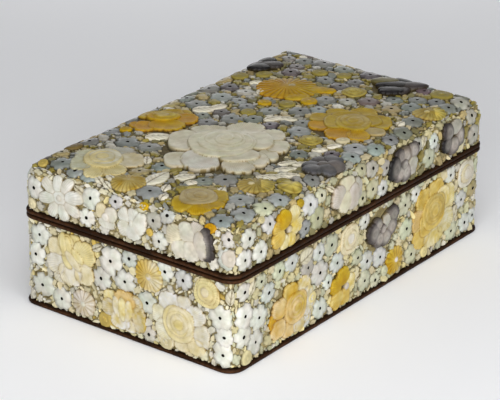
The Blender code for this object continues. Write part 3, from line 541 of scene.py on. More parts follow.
class RoundedBox:
    """The bed's outer face: rounded corners, and for the lid a flat top with rounded shoulders."""

    def __init__(self, half_x, half_y, corner, shoulder=0.0, top=None):
        self.half_x, self.half_y, self.corner = half_x, half_y, corner
        self.shoulder, self.top = shoulder, top

    def nearest(self, points):
        """The surface points nearest to some points outside, and the outward directions there.

        In plan, what reaches past the corners' centres gives the direction, and its length less the corner
        radius is the depth; the same step, taken again on depth and height, rounds the shoulder.
        """
        x, y, z = np.moveaxis(points, -1, 0)
        past = np.stack([np.abs(x) - (self.half_x - self.corner), np.abs(y) - (self.half_y - self.corner)])
        over = np.maximum(past, 0.0)
        reach = np.hypot(over[0], over[1])
        depth = reach + np.minimum(past.max(axis=0), 0.0) - self.corner
        square = np.stack([past[0] > past[1], past[0] <= past[1]]).astype(float)
        plan = np.where(reach > 0.0, over / np.maximum(reach, TINY), square) * np.sign(np.stack([x, y]))
        if self.top is None:
            outward = np.stack([plan[0], plan[1], np.zeros_like(z)], axis=-1)
            return points - outward * depth[..., None], outward
        out, rise = depth + self.shoulder, z - (self.top - self.shoulder)
        far = np.hypot(np.maximum(out, 0.0), np.maximum(rise, 0.0))
        level = np.where(far > 0.0, np.maximum(out, 0.0) / np.maximum(far, TINY), out > rise)
        upward = np.where(far > 0.0, np.maximum(rise, 0.0) / np.maximum(far, TINY), out <= rise)
        outward = np.stack([plan[0] * level, plan[1] * level, upward], axis=-1)
        distance = far + np.minimum(np.maximum(out, rise), 0.0) - self.shoulder
        return points - outward * distance[..., None], outward


class Face:
    """One side of the bed: seen from outside, u runs right and v up from the middle of its lower edge."""

    def __init__(self, body, middle, right, up, half_u, low_v, high_v):
        self.body = body
        self.middle, self.right, self.up = (np.array(part, float) for part in (middle, right, up))
        self.half_u, self.low_v, self.high_v = half_u, low_v, high_v

    def lay(self, u, v, height):
        """Points at u, v on the face, settled on the rounded body and raised along its outward direction."""
        u, v, height = np.broadcast_arrays(u, v, height)
        flat = self.middle + u[..., None] * self.right + v[..., None] * self.up
        on_bed, outward = self.body.nearest(flat)
        return on_bed + outward * height[..., None]


def millimetres(node):
    """A node's lowest and highest corners."""
    low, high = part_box(node)
    return np.array(low) / MM, np.array(high) / MM


def make_faces():
    """The bodies of the base and the lid and their faces, from the frame's carcasses and strips."""
    half_x, half_y = millimetres("base_carcass")[1][:2] + BED_DEPTH
    corner, shoulder = CARCASS_CORNER + BED_DEPTH, LID_SHOULDER + BED_DEPTH
    base = RoundedBox(half_x, half_y, corner)
    lid = RoundedBox(half_x, half_y, corner, shoulder, millimetres("lid_carcass")[1][2] + BED_DEPTH)
    base_bottom = millimetres("base_foot_strip")[1][2] + BED_MARGIN
    base_top = millimetres("base_rim_strip")[0][2] - BED_MARGIN
    lid_bottom = millimetres("lid_rim_strip")[1][2] + BED_MARGIN
    faces = {"top": Face(lid, (0, 0, lid.top), (1, 0, 0), (0, 1, 0), half_x, -half_y, half_y)}
    sides = {"front": (1, 0, 0), "right": (0, 1, 0), "back": (-1, 0, 0), "left": (0, -1, 0)}
    parts = (("base", base, base_bottom, base_top), ("lid", lid, lid_bottom, lid.top))
    for side, right in sides.items():
        outward = np.cross(right, (0, 0, 1))
        away = np.abs(outward) @ (half_x, half_y, 0)
        half_u = np.abs(right) @ (half_x, half_y, 0)
        for name, body, bottom, top in parts:
            middle = outward * away + np.array((0, 0, bottom))
            faces[f"{name}_{side}"] = Face(body, middle, right, (0, 0, 1), half_u, 0.0, top - bottom)
    return base, lid, faces


BASE, LID, FACES = make_faces()


def smooth(x):
    """From 0 to 1 with level ends, as x goes from 0 to 1."""
    x = np.clip(x, 0.0, 1.0)
    return x * x * (3.0 - 2.0 * x)


def lumps(points, size, seed):
    """Soft bumps from -1 to 1: random values on a lattice of the given size, blended in between."""
    cell, part = np.divmod(points / size, 1.0)
    part = smooth(part)
    total = np.zeros(points.shape[:-1])
    for corner in np.ndindex(2, 2, 2):
        at = cell.astype(np.int64) + corner
        mixed = (at[..., 0] * 73856093) ^ (at[..., 1] * 19349663) ^ (at[..., 2] * 83492791)
        mixed = mixed ^ (seed * 2654435761)
        mixed = (mixed ^ (mixed >> 13)) * 1274126177
        value = ((mixed ^ (mixed >> 16)) & 0xFFFF) / 32767.5 - 1.0
        weight = np.prod(np.where(corner, part, 1.0 - part), axis=-1)
        total += value * weight
    return total


def blend(first, second, share):
    """Colours between two colours, by a share from 0 to 1 at each point."""
    share = np.clip(share, 0.0, 1.0)[..., None]
    return np.asarray(first) * (1.0 - share) + np.asarray(second) * share


class Shape:
    """A mesh in the making: points in millimetres, faces by index, and a colour at each point."""

    def __init__(self):
        self.points, self.colours, self.quads, self.triangles, self.count = [], [], [], [], 0

    def add(self, points, colours, quads, triangles=None):
        """Add copies of one pattern of faces: points and colours have one row a copy."""
        copies, each = points.shape[:2]
        start = self.count + each * np.arange(copies)[:, None, None]
        self.points.append(points.reshape(-1, 3))
        self.colours.append(np.broadcast_to(colours, points.shape).reshape(-1, 3))
        self.quads.append((quads[None] + start).reshape(-1, 4))
        if triangles is not None:
            self.triangles.append((triangles[None] + start).reshape(-1, 3))
        self.count += copies * each

    def piece(self, name, material, slot, nodes=(), flat=False):
        """The finished object, in metres, riding on the box; nothing of it reaches below the table."""
        points = np.concatenate(self.points) * MM
        points[:, 2] = np.maximum(points[:, 2], 0.0)
        colours = np.concatenate(self.colours)
        quads = np.concatenate(self.quads)
        triangles = np.concatenate(self.triangles) if self.triangles else np.zeros((0, 3), int)
        mesh = bpy.data.meshes.new(name)
        mesh.vertices.add(len(points))
        mesh.vertices.foreach_set("co", points.ravel().astype(np.float32))
        mesh.loops.add(quads.size + triangles.size)
        corners = np.concatenate([quads.ravel(), triangles.ravel()])
        mesh.loops.foreach_set("vertex_index", corners.astype(np.int32))
        mesh.polygons.add(len(quads) + len(triangles))
        starts = np.concatenate([4 * np.arange(len(quads)), quads.size + 3 * np.arange(len(triangles))])
        mesh.polygons.foreach_set("loop_start", starts.astype(np.int32))
        mesh.polygons.foreach_set("use_smooth", np.full(len(starts), not flat))
        paint = mesh.attributes.new(PAINT, "FLOAT_COLOR", "POINT")
        opaque = np.concatenate([colours, np.ones((len(colours), 1))], axis=1)
        paint.data.foreach_set("color", opaque.ravel().astype(np.float32))
        mesh.update(calc_edges=True)
        mesh.validate()
        mesh.materials.append(material)
        piece = bpy.data.objects.new(name, mesh)
        bpy.context.scene.collection.objects.link(piece)
        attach(piece, "root")
        if nodes:
            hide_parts(*nodes)
        return piece


def grid_faces(rows, columns, closed):
    """Quads over a grid of points laid out row by row, whose columns may close on themselves."""
    row, column = np.mgrid[0:rows - 1, 0:columns if closed else columns - 1]
    after = (column + 1) % columns
    low, high = row * columns, (row + 1) * columns
    return np.stack([low + column, low + after, high + after, high + column], axis=-1).reshape(-1, 4)


def disc_faces(rings, around):
    """Faces of a disc: a fan round a point in the middle, then rings of quads outwards from it."""
    quads = 1 + grid_faces(rings, around, True)[:, ::-1]
    index = np.arange(around)
    return quads, np.stack([np.zeros_like(index), 1 + index, 1 + (index + 1) % around], axis=-1)


def ring(count, radius, long_half, wide_half, level, tints, start=0.0, teeth=0):
    """Petals pointing outwards, with their middles evenly on a circle."""
    petals = []
    for index in range(count):
        angle = start + TAU * index / count
        x, y, tint = radius * math.cos(angle), radius * math.sin(angle), tints[index % len(tints)]
        petals.append((x, y, long_half, wide_half, math.degrees(angle), level, teeth, tint))
    return petals


def bud(x, y, long_half, wide_half, turn, level, tints):
    """Nested ovals, each smaller, higher and pushed to one side, so that crescents show."""
    petals = []
    size, step = 1.0, 0.82 / len(tints)
    for index, tint in enumerate(tints):
        rise = (1.0 - level) * index / max(1, len(tints) - 1)
        petals.append((x, y, long_half * size, wide_half * size, turn, level + rise, 0, tint))
        way = math.radians(turn + 155 * index + 60)
        shift = 0.85 * step * min(long_half, wide_half)
        x, y, size = x + shift * math.cos(way), y + shift * math.sin(way), size - step
    return petals


def petals_by_kind(kind, shell, chance):
    """Petals of a flower that has none listed, by its kind, with the flower's half size as the unit."""
    main, second, third = SHELL_TINTS[shell]
    tints = [main, second, main, third]
    start = chance.uniform(0, TAU)
    if kind == "peony":
        outer = ring(8, 0.64, 0.36, 0.33, 0.55, tints, start, 2)
        inner = ring(6, 0.40, 0.34, 0.30, 0.70, tints[1:], start + 0.4)
        return outer + inner + bud(0, 0, 0.42, 0.40, 30, 0.78, [main] * 4)
    if kind == "chrysanthemum":
        return [(0, 0, 0.98, 0.98, 0, 0.74, -20, main + " " + third), (0, 0, 0.15, 0.15, 0, 0.98, 0, third)]
    if kind == "rose":
        return bud(0, 0, 1.0, 1.0, 0, 0.62, [main, main, third, main, main])
    if kind == "pansy":
        return ring(5, 0.50, 0.50, 0.42, 0.80, tints, start)
    return ring(8, 0.58, 0.42, 0.24, 0.74, tints, start, 1) + [(0, 0, 0.16, 0.16, 0, 0.95, 0, "milk")]


def flower_petals(name, kind, shell, half_u, half_v, chance):
    """The petals of one flower as columns of numbers, their fullness and their two colours."""
    petals = list(PETALS.get(name, ()))
    if name in BUDS:
        petals += bud(*BUDS[name])
    if not petals:
        size = (half_u + half_v) / 2
        for x, y, long_half, wide_half, *rest in petals_by_kind(kind, shell, chance):
            petals.append((x * half_u, y * half_v, long_half * size, wide_half * size, *rest))
    hollow = kind.endswith("peony")
    crown = 0.0 if hollow or kind == "rose" else FULL
    fullness = [HOLLOW if hollow and petal[5] < 0.71 else crown for petal in petals]
    columns = np.array([petal[:7] for petal in petals], float).T[:, :, None]
    tints = np.array([[TINTS[petal[7].split()[end]] for end in (0, -1)] for petal in petals])
    tints = tints * (1.0 + 0.035 * chance.uniform(-1, 1, (len(petals), 1, 1)))
    return columns, np.array(fullness)[:, None], tints


def petal_reach(columns, x, y):
    """How far inside each petal's edge each point lies, in millimetres, how far out it is, and its ribs.

    A petal is an oval: a point's shares of the two half sizes, each to a power, add up to 1 at the edge,
    and two slow waves round it make it a little uneven. Round the tip, which faces away from the flower's
    middle, the edge is cut in by narrow teeth at even steps. A number of teeth below zero makes that many
    ribs all round instead, with a scalloped edge.
    """
    middle_x, middle_y, long_half, wide_half, turn, level, teeth = columns
    turn = np.radians(turn)
    away_x, away_y = x[None] - middle_x, y[None] - middle_y
    ahead = away_x * np.cos(turn) + away_y * np.sin(turn)
    beside = away_y * np.cos(turn) - away_x * np.sin(turn)
    power = np.where(level > BUD_LEVEL, BUD_POWER, OVAL_POWER)
    out = (np.abs(ahead / long_half) ** power + np.abs(beside / wide_half) ** power) ** (1.0 / power)
    around = np.arctan2(beside / wide_half, ahead / long_half)
    phase = 2.4 * np.arange(len(long_half))[:, None]
    uneven = 0.026 * np.sin(3.0 * around + phase) + 0.016 * np.sin(5.0 * around + 2.1 * phase)
    out = out * (1.0 + np.where(teeth < 0, 0.0, uneven) * smooth(2.0 * out - 0.5))
    bearing = np.arctan2(away_y, away_x) - np.arctan2(middle_y, middle_x)
    bearing = (bearing + math.pi) % TAU - math.pi
    wave = (bearing / TOOTH_SPAN + 1.0) / 2.0 * teeth
    tooth = np.exp(-((wave - np.round(wave)) * 2.0 / np.maximum(teeth, 1.0) * TOOTH_SPAN / TOOTH_WIDTH) ** 2)
    tooth = np.where((teeth > 0) & (np.abs(bearing) < TOOTH_SPAN * 1.08), tooth, 0.0)
    rib = np.where(teeth < 0, (1.0 - np.abs(np.sin(np.arctan2(beside, ahead) * teeth / 2.0))) ** 1.5, 0.0)
    out = out * (1.0 + TOOTH_DEPTH * tooth * smooth(out * 1.6 - 0.5) + 0.07 * rib)
    return (1.0 - out) * np.minimum(long_half, wide_half), out, rib * smooth(out * 3.0 - 0.25)


def carve(columns, fullness, tints, relief, x, y, lean, dark):
    """Height and colour of a carved flower at some points: the highest of its petals stands out.

    A petal's face lies at its level, hollow or full towards its middle; its edge rounds off as a quarter
    circle and its side falls steeply. Where two petals are level with each other there is a groove. The
    grooves, the rounded edges, the ribs and the foot of each higher petal are painted darker: painted shade,
    with dirt in the grooves. Below the edge the colour falls to dark brown, painted shade with dirt. Fine
    lines run out from the flower's middle. A petal's colour goes from its first to its second along the
    lean. A dark shell is paler inside each petal. The black-lipped one, by its share of dark, stays dark at
    the petal's outer rim and grows pale towards the flower's middle, with faint lines of growth.
    """
    reach, out, rib = petal_reach(columns, x, y)
    _, _, long_half, wide_half, _, level, _ = columns
    small = np.minimum(long_half, wide_half)
    edge = np.minimum(EDGE_ROUND, 0.5 * small)
    shoulder = np.sqrt(1.0 - (1.0 - np.clip(reach / edge, 0.0, 1.0)) ** 2)
    face = fullness * small * (1.0 - np.clip(out, 0.0, 1.0) ** 2)
    height = level * relief - np.where(level > BUD_LEVEL, 0.5, 0.85) * edge * (1.0 - shoulder) + face
    height += SIDE_SLOPE * np.minimum(reach, 0.0) - 0.35 * rib
    best = height.argmax(axis=0)[None]
    first, inside, share = (np.take_along_axis(values, best, 0)[0] for values in (height, reach, out))
    rest = height.copy()
    np.put_along_axis(rest, best, -99.0, 0)
    groove = np.exp(-((first - rest.max(axis=0)) / 0.22) ** 2 - (inside / 0.9) ** 2)
    step = level * relief - first[None]
    width = np.clip(0.45 * step, 0.3, 0.7)
    foot = np.exp(-(reach / width) ** 2) * np.clip(step, 0.35, 1.0)
    foot = np.where((step > 0.1) & (reach < 0.0), foot * np.where(level > 0.7, 0.3, 1.0), 0.0).max(axis=0)
    far = np.hypot(columns[0], columns[1]).max() + small.max()
    lines = np.cos(round(3.4 * far) * np.arctan2(y, x)) * smooth(np.hypot(x, y) / far * 3.0 - 0.8)
    lines = lines * (level[best[0], 0] < 0.75) * np.clip(inside, 0.0, 1.0)
    along = smooth(0.5 + (x * math.cos(lean) + y * math.sin(lean)) / (1.5 * far))
    colours = blend(tints[best[0], 0], tints[best[0], 1], along)
    dusky = colours.max(axis=-1, keepdims=True) < DUSKY
    if dark:
        middle_x, middle_y = columns[0][best[0], 0], columns[1][best[0], 0]
        outwards = (x - middle_x) * middle_x + (y - middle_y) * middle_y
        tipward = outwards / np.maximum(np.hypot(middle_x, middle_y) * small[best[0], 0], 1.0)
        growth = 1.0 + 0.14 * np.cos(16.0 * share + 4.0 * tipward)
        pale = smooth(1.0 - 0.5 * tipward - 1.1 * share ** 2) * growth
        strength = dark * (0.30 + 3.0 * colours.mean(axis=-1))
        paler = blend(colours * 0.75, BLACKLIP_PALE, pale * strength)
    else:
        paler = blend(colours, colours * 2.0 + 0.012, np.exp(-((share - 0.35) / 0.34) ** 2))
        paler = blend(paler, colours * 2.0 + 0.03, 0.5 * np.exp(-((inside - 0.55) / 0.35) ** 2))
    vivid = 1.0 - colours.min(axis=-1) / colours.max(axis=-1)
    rim = (0.08 + 0.16 * vivid) * np.exp(-((inside - 0.8) / 0.7) ** 2)
    rimmed = blend(colours, np.sqrt(colours) * 0.97, rim)
    colours = np.where(dusky, paler, rimmed)
    colours = colours * (1.0 + 0.10 * lines)[:, None]
    ribs = np.take_along_axis(rib, best, 0)[0]
    crisp = np.where(level[best[0], 0] > BUD_LEVEL, 0.45, 1.0)
    # Darken the grooves, rounded edges and ribs and the feet of higher petals: painted shade, with dirt in
    # the grooves
    shade_and_dirt_share = foot + crisp * (0.75 * groove + 0.5 * np.exp(-inside / 0.35)) + 0.6 * ribs
    colours = blend(colours, colours * GROOVE_DIRT_AND_SHADE, np.clip(shade_and_dirt_share, 0.0, 1.0))
    # Below the petal's edge the colour falls towards dark brown: painted shade with dirt
    colours = blend(colours, GRIME_AND_SHADE, np.clip(-inside / 0.6, 0.0, 0.9))
    return np.maximum(first - 0.2 * groove + 0.03 * lines, 0.1), colours


def flower_edge(columns):
    """How far out the edge of the petals lies on evenly spaced rays: the last point that any petal covers.

    From ray to ray the edge falls no faster than a steep slant, so a narrow gap is left to the heights.
    """
    theta = TAU * np.arange(EDGE_RAYS) / EDGE_RAYS
    far = 1.03 * (np.hypot(columns[0], columns[1]) + np.maximum(columns[2], columns[3])).max()
    radius = np.linspace(0.0, far, RAY_POINTS)
    x, y = np.outer(np.cos(theta), radius), np.outer(np.sin(theta), radius)
    best = petal_reach(columns, x.ravel(), y.ravel())[0].max(axis=0).reshape(x.shape)
    last = np.minimum(x.shape[1] - 2, x.shape[1] - 1 - (best[:, ::-1] >= 0.0).argmax(axis=1))
    row = np.arange(EDGE_RAYS)
    share = best[row, last] / np.maximum(best[row, last] - best[row, last + 1], TINY)
    edge = radius[last] + np.clip(share, 0.0, 1.0) * radius[1]
    for step in range(1, 40):
        lower = 1.0 - 1.5 * step * TAU / EDGE_RAYS
        edge = np.maximum(edge, lower * np.maximum(np.roll(edge, step), np.roll(edge, -step)))
    return theta, edge


def round_grid(count):
    """Radius and angle of a square grid laid over a disc: its squares round the middle become rings."""
    side = np.linspace(-1.0, 1.0, count)
    across, along = np.meshgrid(side, side)
    wide = np.abs(across) >= np.abs(along)
    radius = np.where(wide, across, along)
    angle = np.where(wide, math.pi / 4 * along / across, math.pi / 2 - math.pi / 4 * across / along)
    return np.abs(radius), (angle + np.where(radius < 0.0, math.pi, 0.0)) % TAU


def carved_flower(name, face_name, kind, shell, u, v, half_u, half_v, seed, material):
    """One carved flower over its node: a grid over its outline, an upright side and a flat foot."""
    chance = np.random.default_rng(seed)
    columns, fullness, tints = flower_petals(name, kind, shell, half_u, half_v, chance)
    count = 2 * round((half_u + half_v) / 2 / GRID_STEP)
    theta, edge = flower_edge(columns)
    radius, angle = round_grid(count)
    radius, angle = radius.ravel(), angle.ravel()
    out = radius * np.interp(angle, theta, edge, period=TAU)
    x, y = out * np.cos(angle), out * np.sin(angle)
    lean = math.radians(TOP_LEAN) if face_name == "top" else 0.0
    dark = (shell == "blacklip") * (0.15 if face_name == "top" else 1.0)
    height, colours = carve(columns, fullness, tints, RELIEF[kind], x, y, lean, dark)
    face = FACES[face_name]
    index = np.arange(count * count).reshape(count, count)
    loop = np.concatenate([index[0, :-1], index[:-1, -1], index[-1, :0:-1], index[:0:-1, 0]])
    low = np.stack([0.45 * height[loop], np.full(len(loop), -FOOT)])
    points = face.lay(u + x, v + y, height)
    side = face.lay(u + x[loop], v + y[loop], low)
    below = face.lay(np.array([u]), np.array([v]), np.array([-FOOT]))
    cloud = lumps(points, 5.0, seed) + 0.7 * lumps(points, 1.6, seed)
    colours = colours * (1.0 + cloud[:, None] * CLOUDING[shell])
    around, total = len(loop), count * count
    # The upright side is painted darker downwards, and the point under the foot dark brown: painted shade
    # with dirt
    side_shade_and_dirt = np.stack([blend(colours[loop], GRIME_AND_SHADE, np.full(around, share)) for share in (0.55, 0.95)])
    rows = np.concatenate([loop[None], total + np.arange(2 * around).reshape(2, around)])
    after = np.roll(rows, -1, axis=1)
    sides = np.stack([rows[1:], after[1:], after[:-1], rows[:-1]], axis=-1).reshape(-1, 4)
    quads = np.concatenate([grid_faces(count, count, False), sides])
    triangles = np.stack([np.full(around, total + 2 * around), after[-1], rows[-1]], axis=-1)
    shape = Shape()
    everything = np.concatenate([points, side.reshape(-1, 3), below])
    painted = np.concatenate([colours, side_shade_and_dirt.reshape(-1, 3), np.array([GRIME_AND_SHADE])])
    shape.add(everything[None], painted[None], quads, triangles)
    return shape.piece(name + "_carving", material, shell + "_shell", (name,))


def add_discs(shape, face, u, v, reach_u, reach_v, turn, rings, outline, tones, tilt=0.0, hollow=False,
              between=None):
    """Copies of one disc-like shape: rings of radius, height, how far each keeps to the outline, and shade.

    A tilt raises one side and lowers the other. A hollow one has no middle. Between darkens the colour from
    place to place round each ring.
    """
    around = outline.shape[-1]
    theta = TAU * np.arange(around) / around
    values = ([np.broadcast_to(ring[part], u.shape) for ring in rings] for part in range(3))
    radius, height, shaped = (np.stack(value, axis=1)[..., None] for value in values)
    out = radius * (1.0 + shaped * (outline[:, None, :] - 1.0))
    local_u = reach_u[:, None, None] * out * np.cos(theta)
    local_v = reach_v[:, None, None] * out * np.sin(theta)
    cosine, sine = np.cos(turn)[:, None, None], np.sin(turn)[:, None, None]
    turned_u, turned_v = local_u * cosine - local_v * sine, local_u * sine + local_v * cosine
    height = height + 0.0 * out
    if np.ndim(tilt):
        slope = tilt[:, 0, None, None] * turned_u + tilt[:, 1, None, None] * turned_v
        height = height + np.where(height > 0.0, slope, 0.0)
    points = face.lay(u[:, None, None] + turned_u, v[:, None, None] + turned_v, height)
    count = len(u)
    colours = tones[:, None, :] * np.array([ring[3] for ring in rings])[None, :, None]
    paint = np.broadcast_to(colours[:, :, None, :], points.shape)
    if between is not None:
        paint = paint * between[None, ..., None]
    if hollow:
        quads = grid_faces(len(rings), around, True)[:, ::-1]
        shape.add(points.reshape(count, -1, 3), paint.reshape(count, -1, 3), quads)
        return
    middle = points[:, 0].mean(axis=1, keepdims=True)
    points = np.concatenate([middle, points.reshape(count, -1, 3)], axis=1)
    paint = np.concatenate([colours[:, :1], paint.reshape(count, -1, 3)], axis=1)
    shape.add(points, paint, *disc_faces(len(rings), around))


def clearance(face_name, u, v, taken, tuck=0.0):
    """How far each point is from the face's carved flowers, from its edges, and from other round things.

    Tuck is how far a small thing may reach under a flower's edge.
    """
    face = FACES[face_name]
    clear = np.minimum(face.half_u - np.abs(u), np.minimum(v - face.low_v, face.high_v - v)) + 0.9
    for _, _, _, cu, cv, half_u, half_v in FLOWERS[face_name]:
        away = np.hypot(u - cu, v - cv)
        share = np.hypot((u - cu) / half_u, (v - cv) / half_v)
        clear = np.minimum(clear, away * (1.0 - 1.0 / np.maximum(share, TINY)) + tuck)
    for cu, cv, radius in taken:
        clear = np.minimum(clear, np.hypot(u - cu, v - cv) - radius)
    return clear


def fill(face_name, taken, tries, least, most, gap, tuck, chance):
    """Round places in the free room of a face, larger ones first, each as large as what is near allows."""
    face = FACES[face_name]
    u = chance.uniform(-face.half_u, face.half_u, tries)
    v = chance.uniform(face.low_v, face.high_v, tries)
    wanted = np.sort(least + (most - least) * chance.random(tries) ** 1.5)[::-1]
    clear = clearance(face_name, u, v, taken, tuck)
    placed = []
    for index in range(tries):
        radius = min(wanted[index], clear[index] - gap)
        if radius >= max(least, 0.75 * wanted[index]):
            placed.append((u[index], v[index], radius))
            near = slice(index + 1, None)
            clear[near] = np.minimum(clear[near], np.hypot(u[near] - u[index], v[near] - v[index]) - radius)
    return placed


def shell_tones(tones, odds, count, spread, chance):
    """A colour for each of a number of small pieces: a tone by its odds, paler or darker by the spread."""
    picked = np.array([TINTS[tone] for tone in tones])[chance.choice(len(tones), count, p=odds)]
    return np.clip(picked * (1.0 + spread * chance.normal(size=(count, 1))), 0.0, BRIGHTEST)


def make_blossoms(shape, holes, face_name, places, chance):
    """Drilled blossoms: five or six flat petals, notched between, nicked at the tip, round a dark hole."""
    face = FACES[face_name]
    for petals in (5, 6):
        chosen = [place for index, place in enumerate(places) if (index % 3 == 2) == (petals == 6)]
        if not chosen:
            continue
        u, v, radius = (np.array([place[part] for place in chosen], float) for part in range(3))
        radius = radius * 1.06
        count = len(u)
        tones = np.array([TINTS[place[3]] for place in chosen])
        tones = tones * (1.0 + 0.07 * chance.normal(size=(count, 1)))
        tones = tones + 0.008 * chance.normal(size=(count, 3))
        notch = np.array([0.25, 0.01, 0.06, 0.01]) * chance.uniform(0.5, 1.4, (count, petals, 1))
        outline = 1.0 - notch + 0.06 * chance.uniform(-1, 1, (count, petals, 1))
        lift = chance.uniform(0.7, 1.0, count) * BLOSSOM_RELIEF
        hole = HOLE_RADIUS * chance.uniform(0.85, 1.1, count) / radius
        # The last ring, down the side to the foot, is darkened to about a quarter: painted shade
        rings = ((hole, lift * 0.96, 0.0, 0.90), (0.58, lift * 1.03, 0.5, 1.05),
                 (0.94, lift * 0.80, 1.0, 0.96), (1.0, -FOOT, 1.0, 0.26))
        valley = np.tile([0.88, 1.0, 0.97, 1.0], petals)
        between = np.stack([np.ones(4 * petals), valley ** 1.2, valley, valley])
        turn = chance.uniform(0, TAU, count)
        slim = radius * chance.uniform(0.9, 1.0, count)
        tilt = 0.03 * chance.normal(size=(count, 2))
        outline = outline.reshape(count, -1)
        add_discs(shape, face, u, v, radius, slim, turn, rings, outline, tones, tilt, True, between)
        # The hole's bowl is coloured near black: painted shade with dirt
        bowl = ((hole * 0.8, 0.15 * lift, 0.0, 1.0), (hole * 1.02, lift * 0.97, 0.0, 1.0))
        black = np.tile(HOLE_DIRT_AND_SHADE, (count, 1))
        add_discs(holes, face, u, v, radius, slim, turn, bowl, np.ones((count, 10)), black, tilt)


def make_florets(shape, face_name, places, tones, odds, chance):
    """Small whole flowers without a hole: four or five lobes, fuller in the middle."""
    for lobes in (4, 5):
        chosen = places[lobes % 2::2]
        if not chosen:
            continue
        u, v, radius = np.array(chosen).T
        count = len(u)
        colours = shell_tones(tones, odds, count, 0.10, chance)
        outline = 1.0 - np.array([0.26, 0.02, 0.02]) * chance.uniform(0.6, 1.3, (count, lobes, 1))
        outline = (outline * (1.0 + 0.14 * chance.uniform(-1, 1, (count, lobes, 1)))).reshape(count, -1)
        lift = np.clip(radius * 0.38, 0.8, 1.5) * chance.uniform(0.8, 1.1, count)
        # The last ring, down the side to the foot, is darkened to about a fifth: painted shade
        rings = ((0.20, lift, 0.0, 1.0), (0.84, lift * 0.82, 1.0, 0.98), (1.0, -FOOT, 1.0, 0.22))
        valley = np.tile([0.72, 1.0, 1.0], lobes)
        between = np.stack([np.full(3 * lobes, 0.93), valley, valley])
        slim, turn = radius * chance.uniform(0.7, 1.08, count), chance.uniform(0, TAU, count)
        tilt = 0.08 * chance.normal(size=(count, 2))
        add_discs(shape, FACES[face_name], u, v, radius * 1.08, slim, turn, rings, outline, colours, tilt,
                  between=between)


def make_flakes(shape, face_name, places, tones, odds, chance):
    """Flakes of shell: flat, slightly tilted scraps of six uneven sides, some long and some broad."""
    u, v, radius = np.array(places).T
    count = len(u)
    colours = shell_tones(tones, odds, count, 0.12, chance)
    outline = 1.0 + 0.28 * chance.uniform(-1, 1, (count, 6))
    slim = chance.uniform(0.42, 0.95, count)
    lift = np.clip(radius * chance.uniform(0.3, 0.6, count), 0.4, 1.1)
    # The last ring, down the side to the foot, is darkened to about a fifth: painted shade
    rings = ((0.80, lift, 1.0, 1.0), (1.0, -FOOT, 1.0, 0.22))
    tilt = np.clip(0.2 * chance.normal(size=(count, 2)), -0.3, 0.3)
    turn = chance.uniform(0, TAU, count)
    slim = radius * 1.2 * slim
    add_discs(shape, FACES[face_name], u, v, radius * 1.35, slim, turn, rings, outline, colours, tilt)


def make_buttons(shape, face_name, places, chance):
    """Plain round discs of coloured shell with a scalloped edge and a low pip."""
    u, v, radius = (np.array([place[part] for place in places], float) for part in range(3))
    count, around, lift = len(u), 27, BUTTON_RELIEF
    tones = np.array([TINTS[place[3]] for place in places])
    outline = 1.0 - 0.07 * np.abs(np.cos(4.5 * TAU * np.arange(around) / around)) ** 4 * np.ones((count, 1))
    # The last ring, down the side to the foot, is darkened to about a quarter: painted shade
    rings = ((0.16, lift * 0.98, 0.0, 1.12), (0.28, lift * 0.8, 0.2, 0.90), (0.62, lift, 0.6, 1.0),
             (0.88, lift * 0.88, 1.0, 1.06), (1.0, lift * 0.55, 1.0, 0.85), (0.98, -FOOT, 1.0, 0.25))
    slim, turn = radius * chance.uniform(0.85, 1.0, count), chance.uniform(0, TAU, count)
    add_discs(shape, FACES[face_name], u, v, radius, slim, turn, rings, outline, tones)


def make_leaf(shape, face_name, u, v, length, width, angle, chance):
    """A leaf: a pointed oval with a cut along its middle and slanting veins."""
    rows, columns = 37, 17
    s = np.linspace(-1.0, 1.0, rows)[:, None]
    w = np.linspace(-1.0, 1.0, columns)[None, :]
    half = width / 2 * (1.0 - np.abs(s) ** 2.0) ** 0.75 * (1.0 - 0.18 * s)
    vein = (s * length / 2 - np.abs(w) * width * 0.45) / 3.3 + 0.25
    vein = 3.3 * np.abs(vein - np.round(vein))
    valley = np.exp(-(w * half / 0.4) ** 2) + 0.7 * np.exp(-(vein / 0.36) ** 2) * (1.0 - np.abs(w) ** 2)
    height = LEAF_RELIEF * (1.0 - 0.55 * np.abs(w) ** 3) * (0.75 + 0.25 * (1.0 - s ** 2)) - 0.42 * valley
    height = np.where(np.abs(w) > 0.99, -FOOT, height)
    height[[0, -1]] = -FOOT
    turn = math.radians(angle)
    across, along = s * length / 2 + 0 * w, half * w
    points = FACES[face_name].lay(u + across * math.cos(turn) - along * math.sin(turn),
                                  v + across * math.sin(turn) + along * math.cos(turn), height)
    tone = np.array(TOP_LEAF if face_name == "top" else SIDE_LEAF) * (1.0 + 0.05 * chance.normal())
    # Veins and the foot below the edge take the dark colour: the veins are the shell's own lines, the foot's
    # dark is painted shade
    colours = blend(tone, LEAF_VEIN_AND_FOOT_SHADE, 0.75 * valley + 0.9 * (height < 0))
    shape.add(points.reshape(1, -1, 3), colours.reshape(1, -1, 3), grid_faces(rows, columns, False))


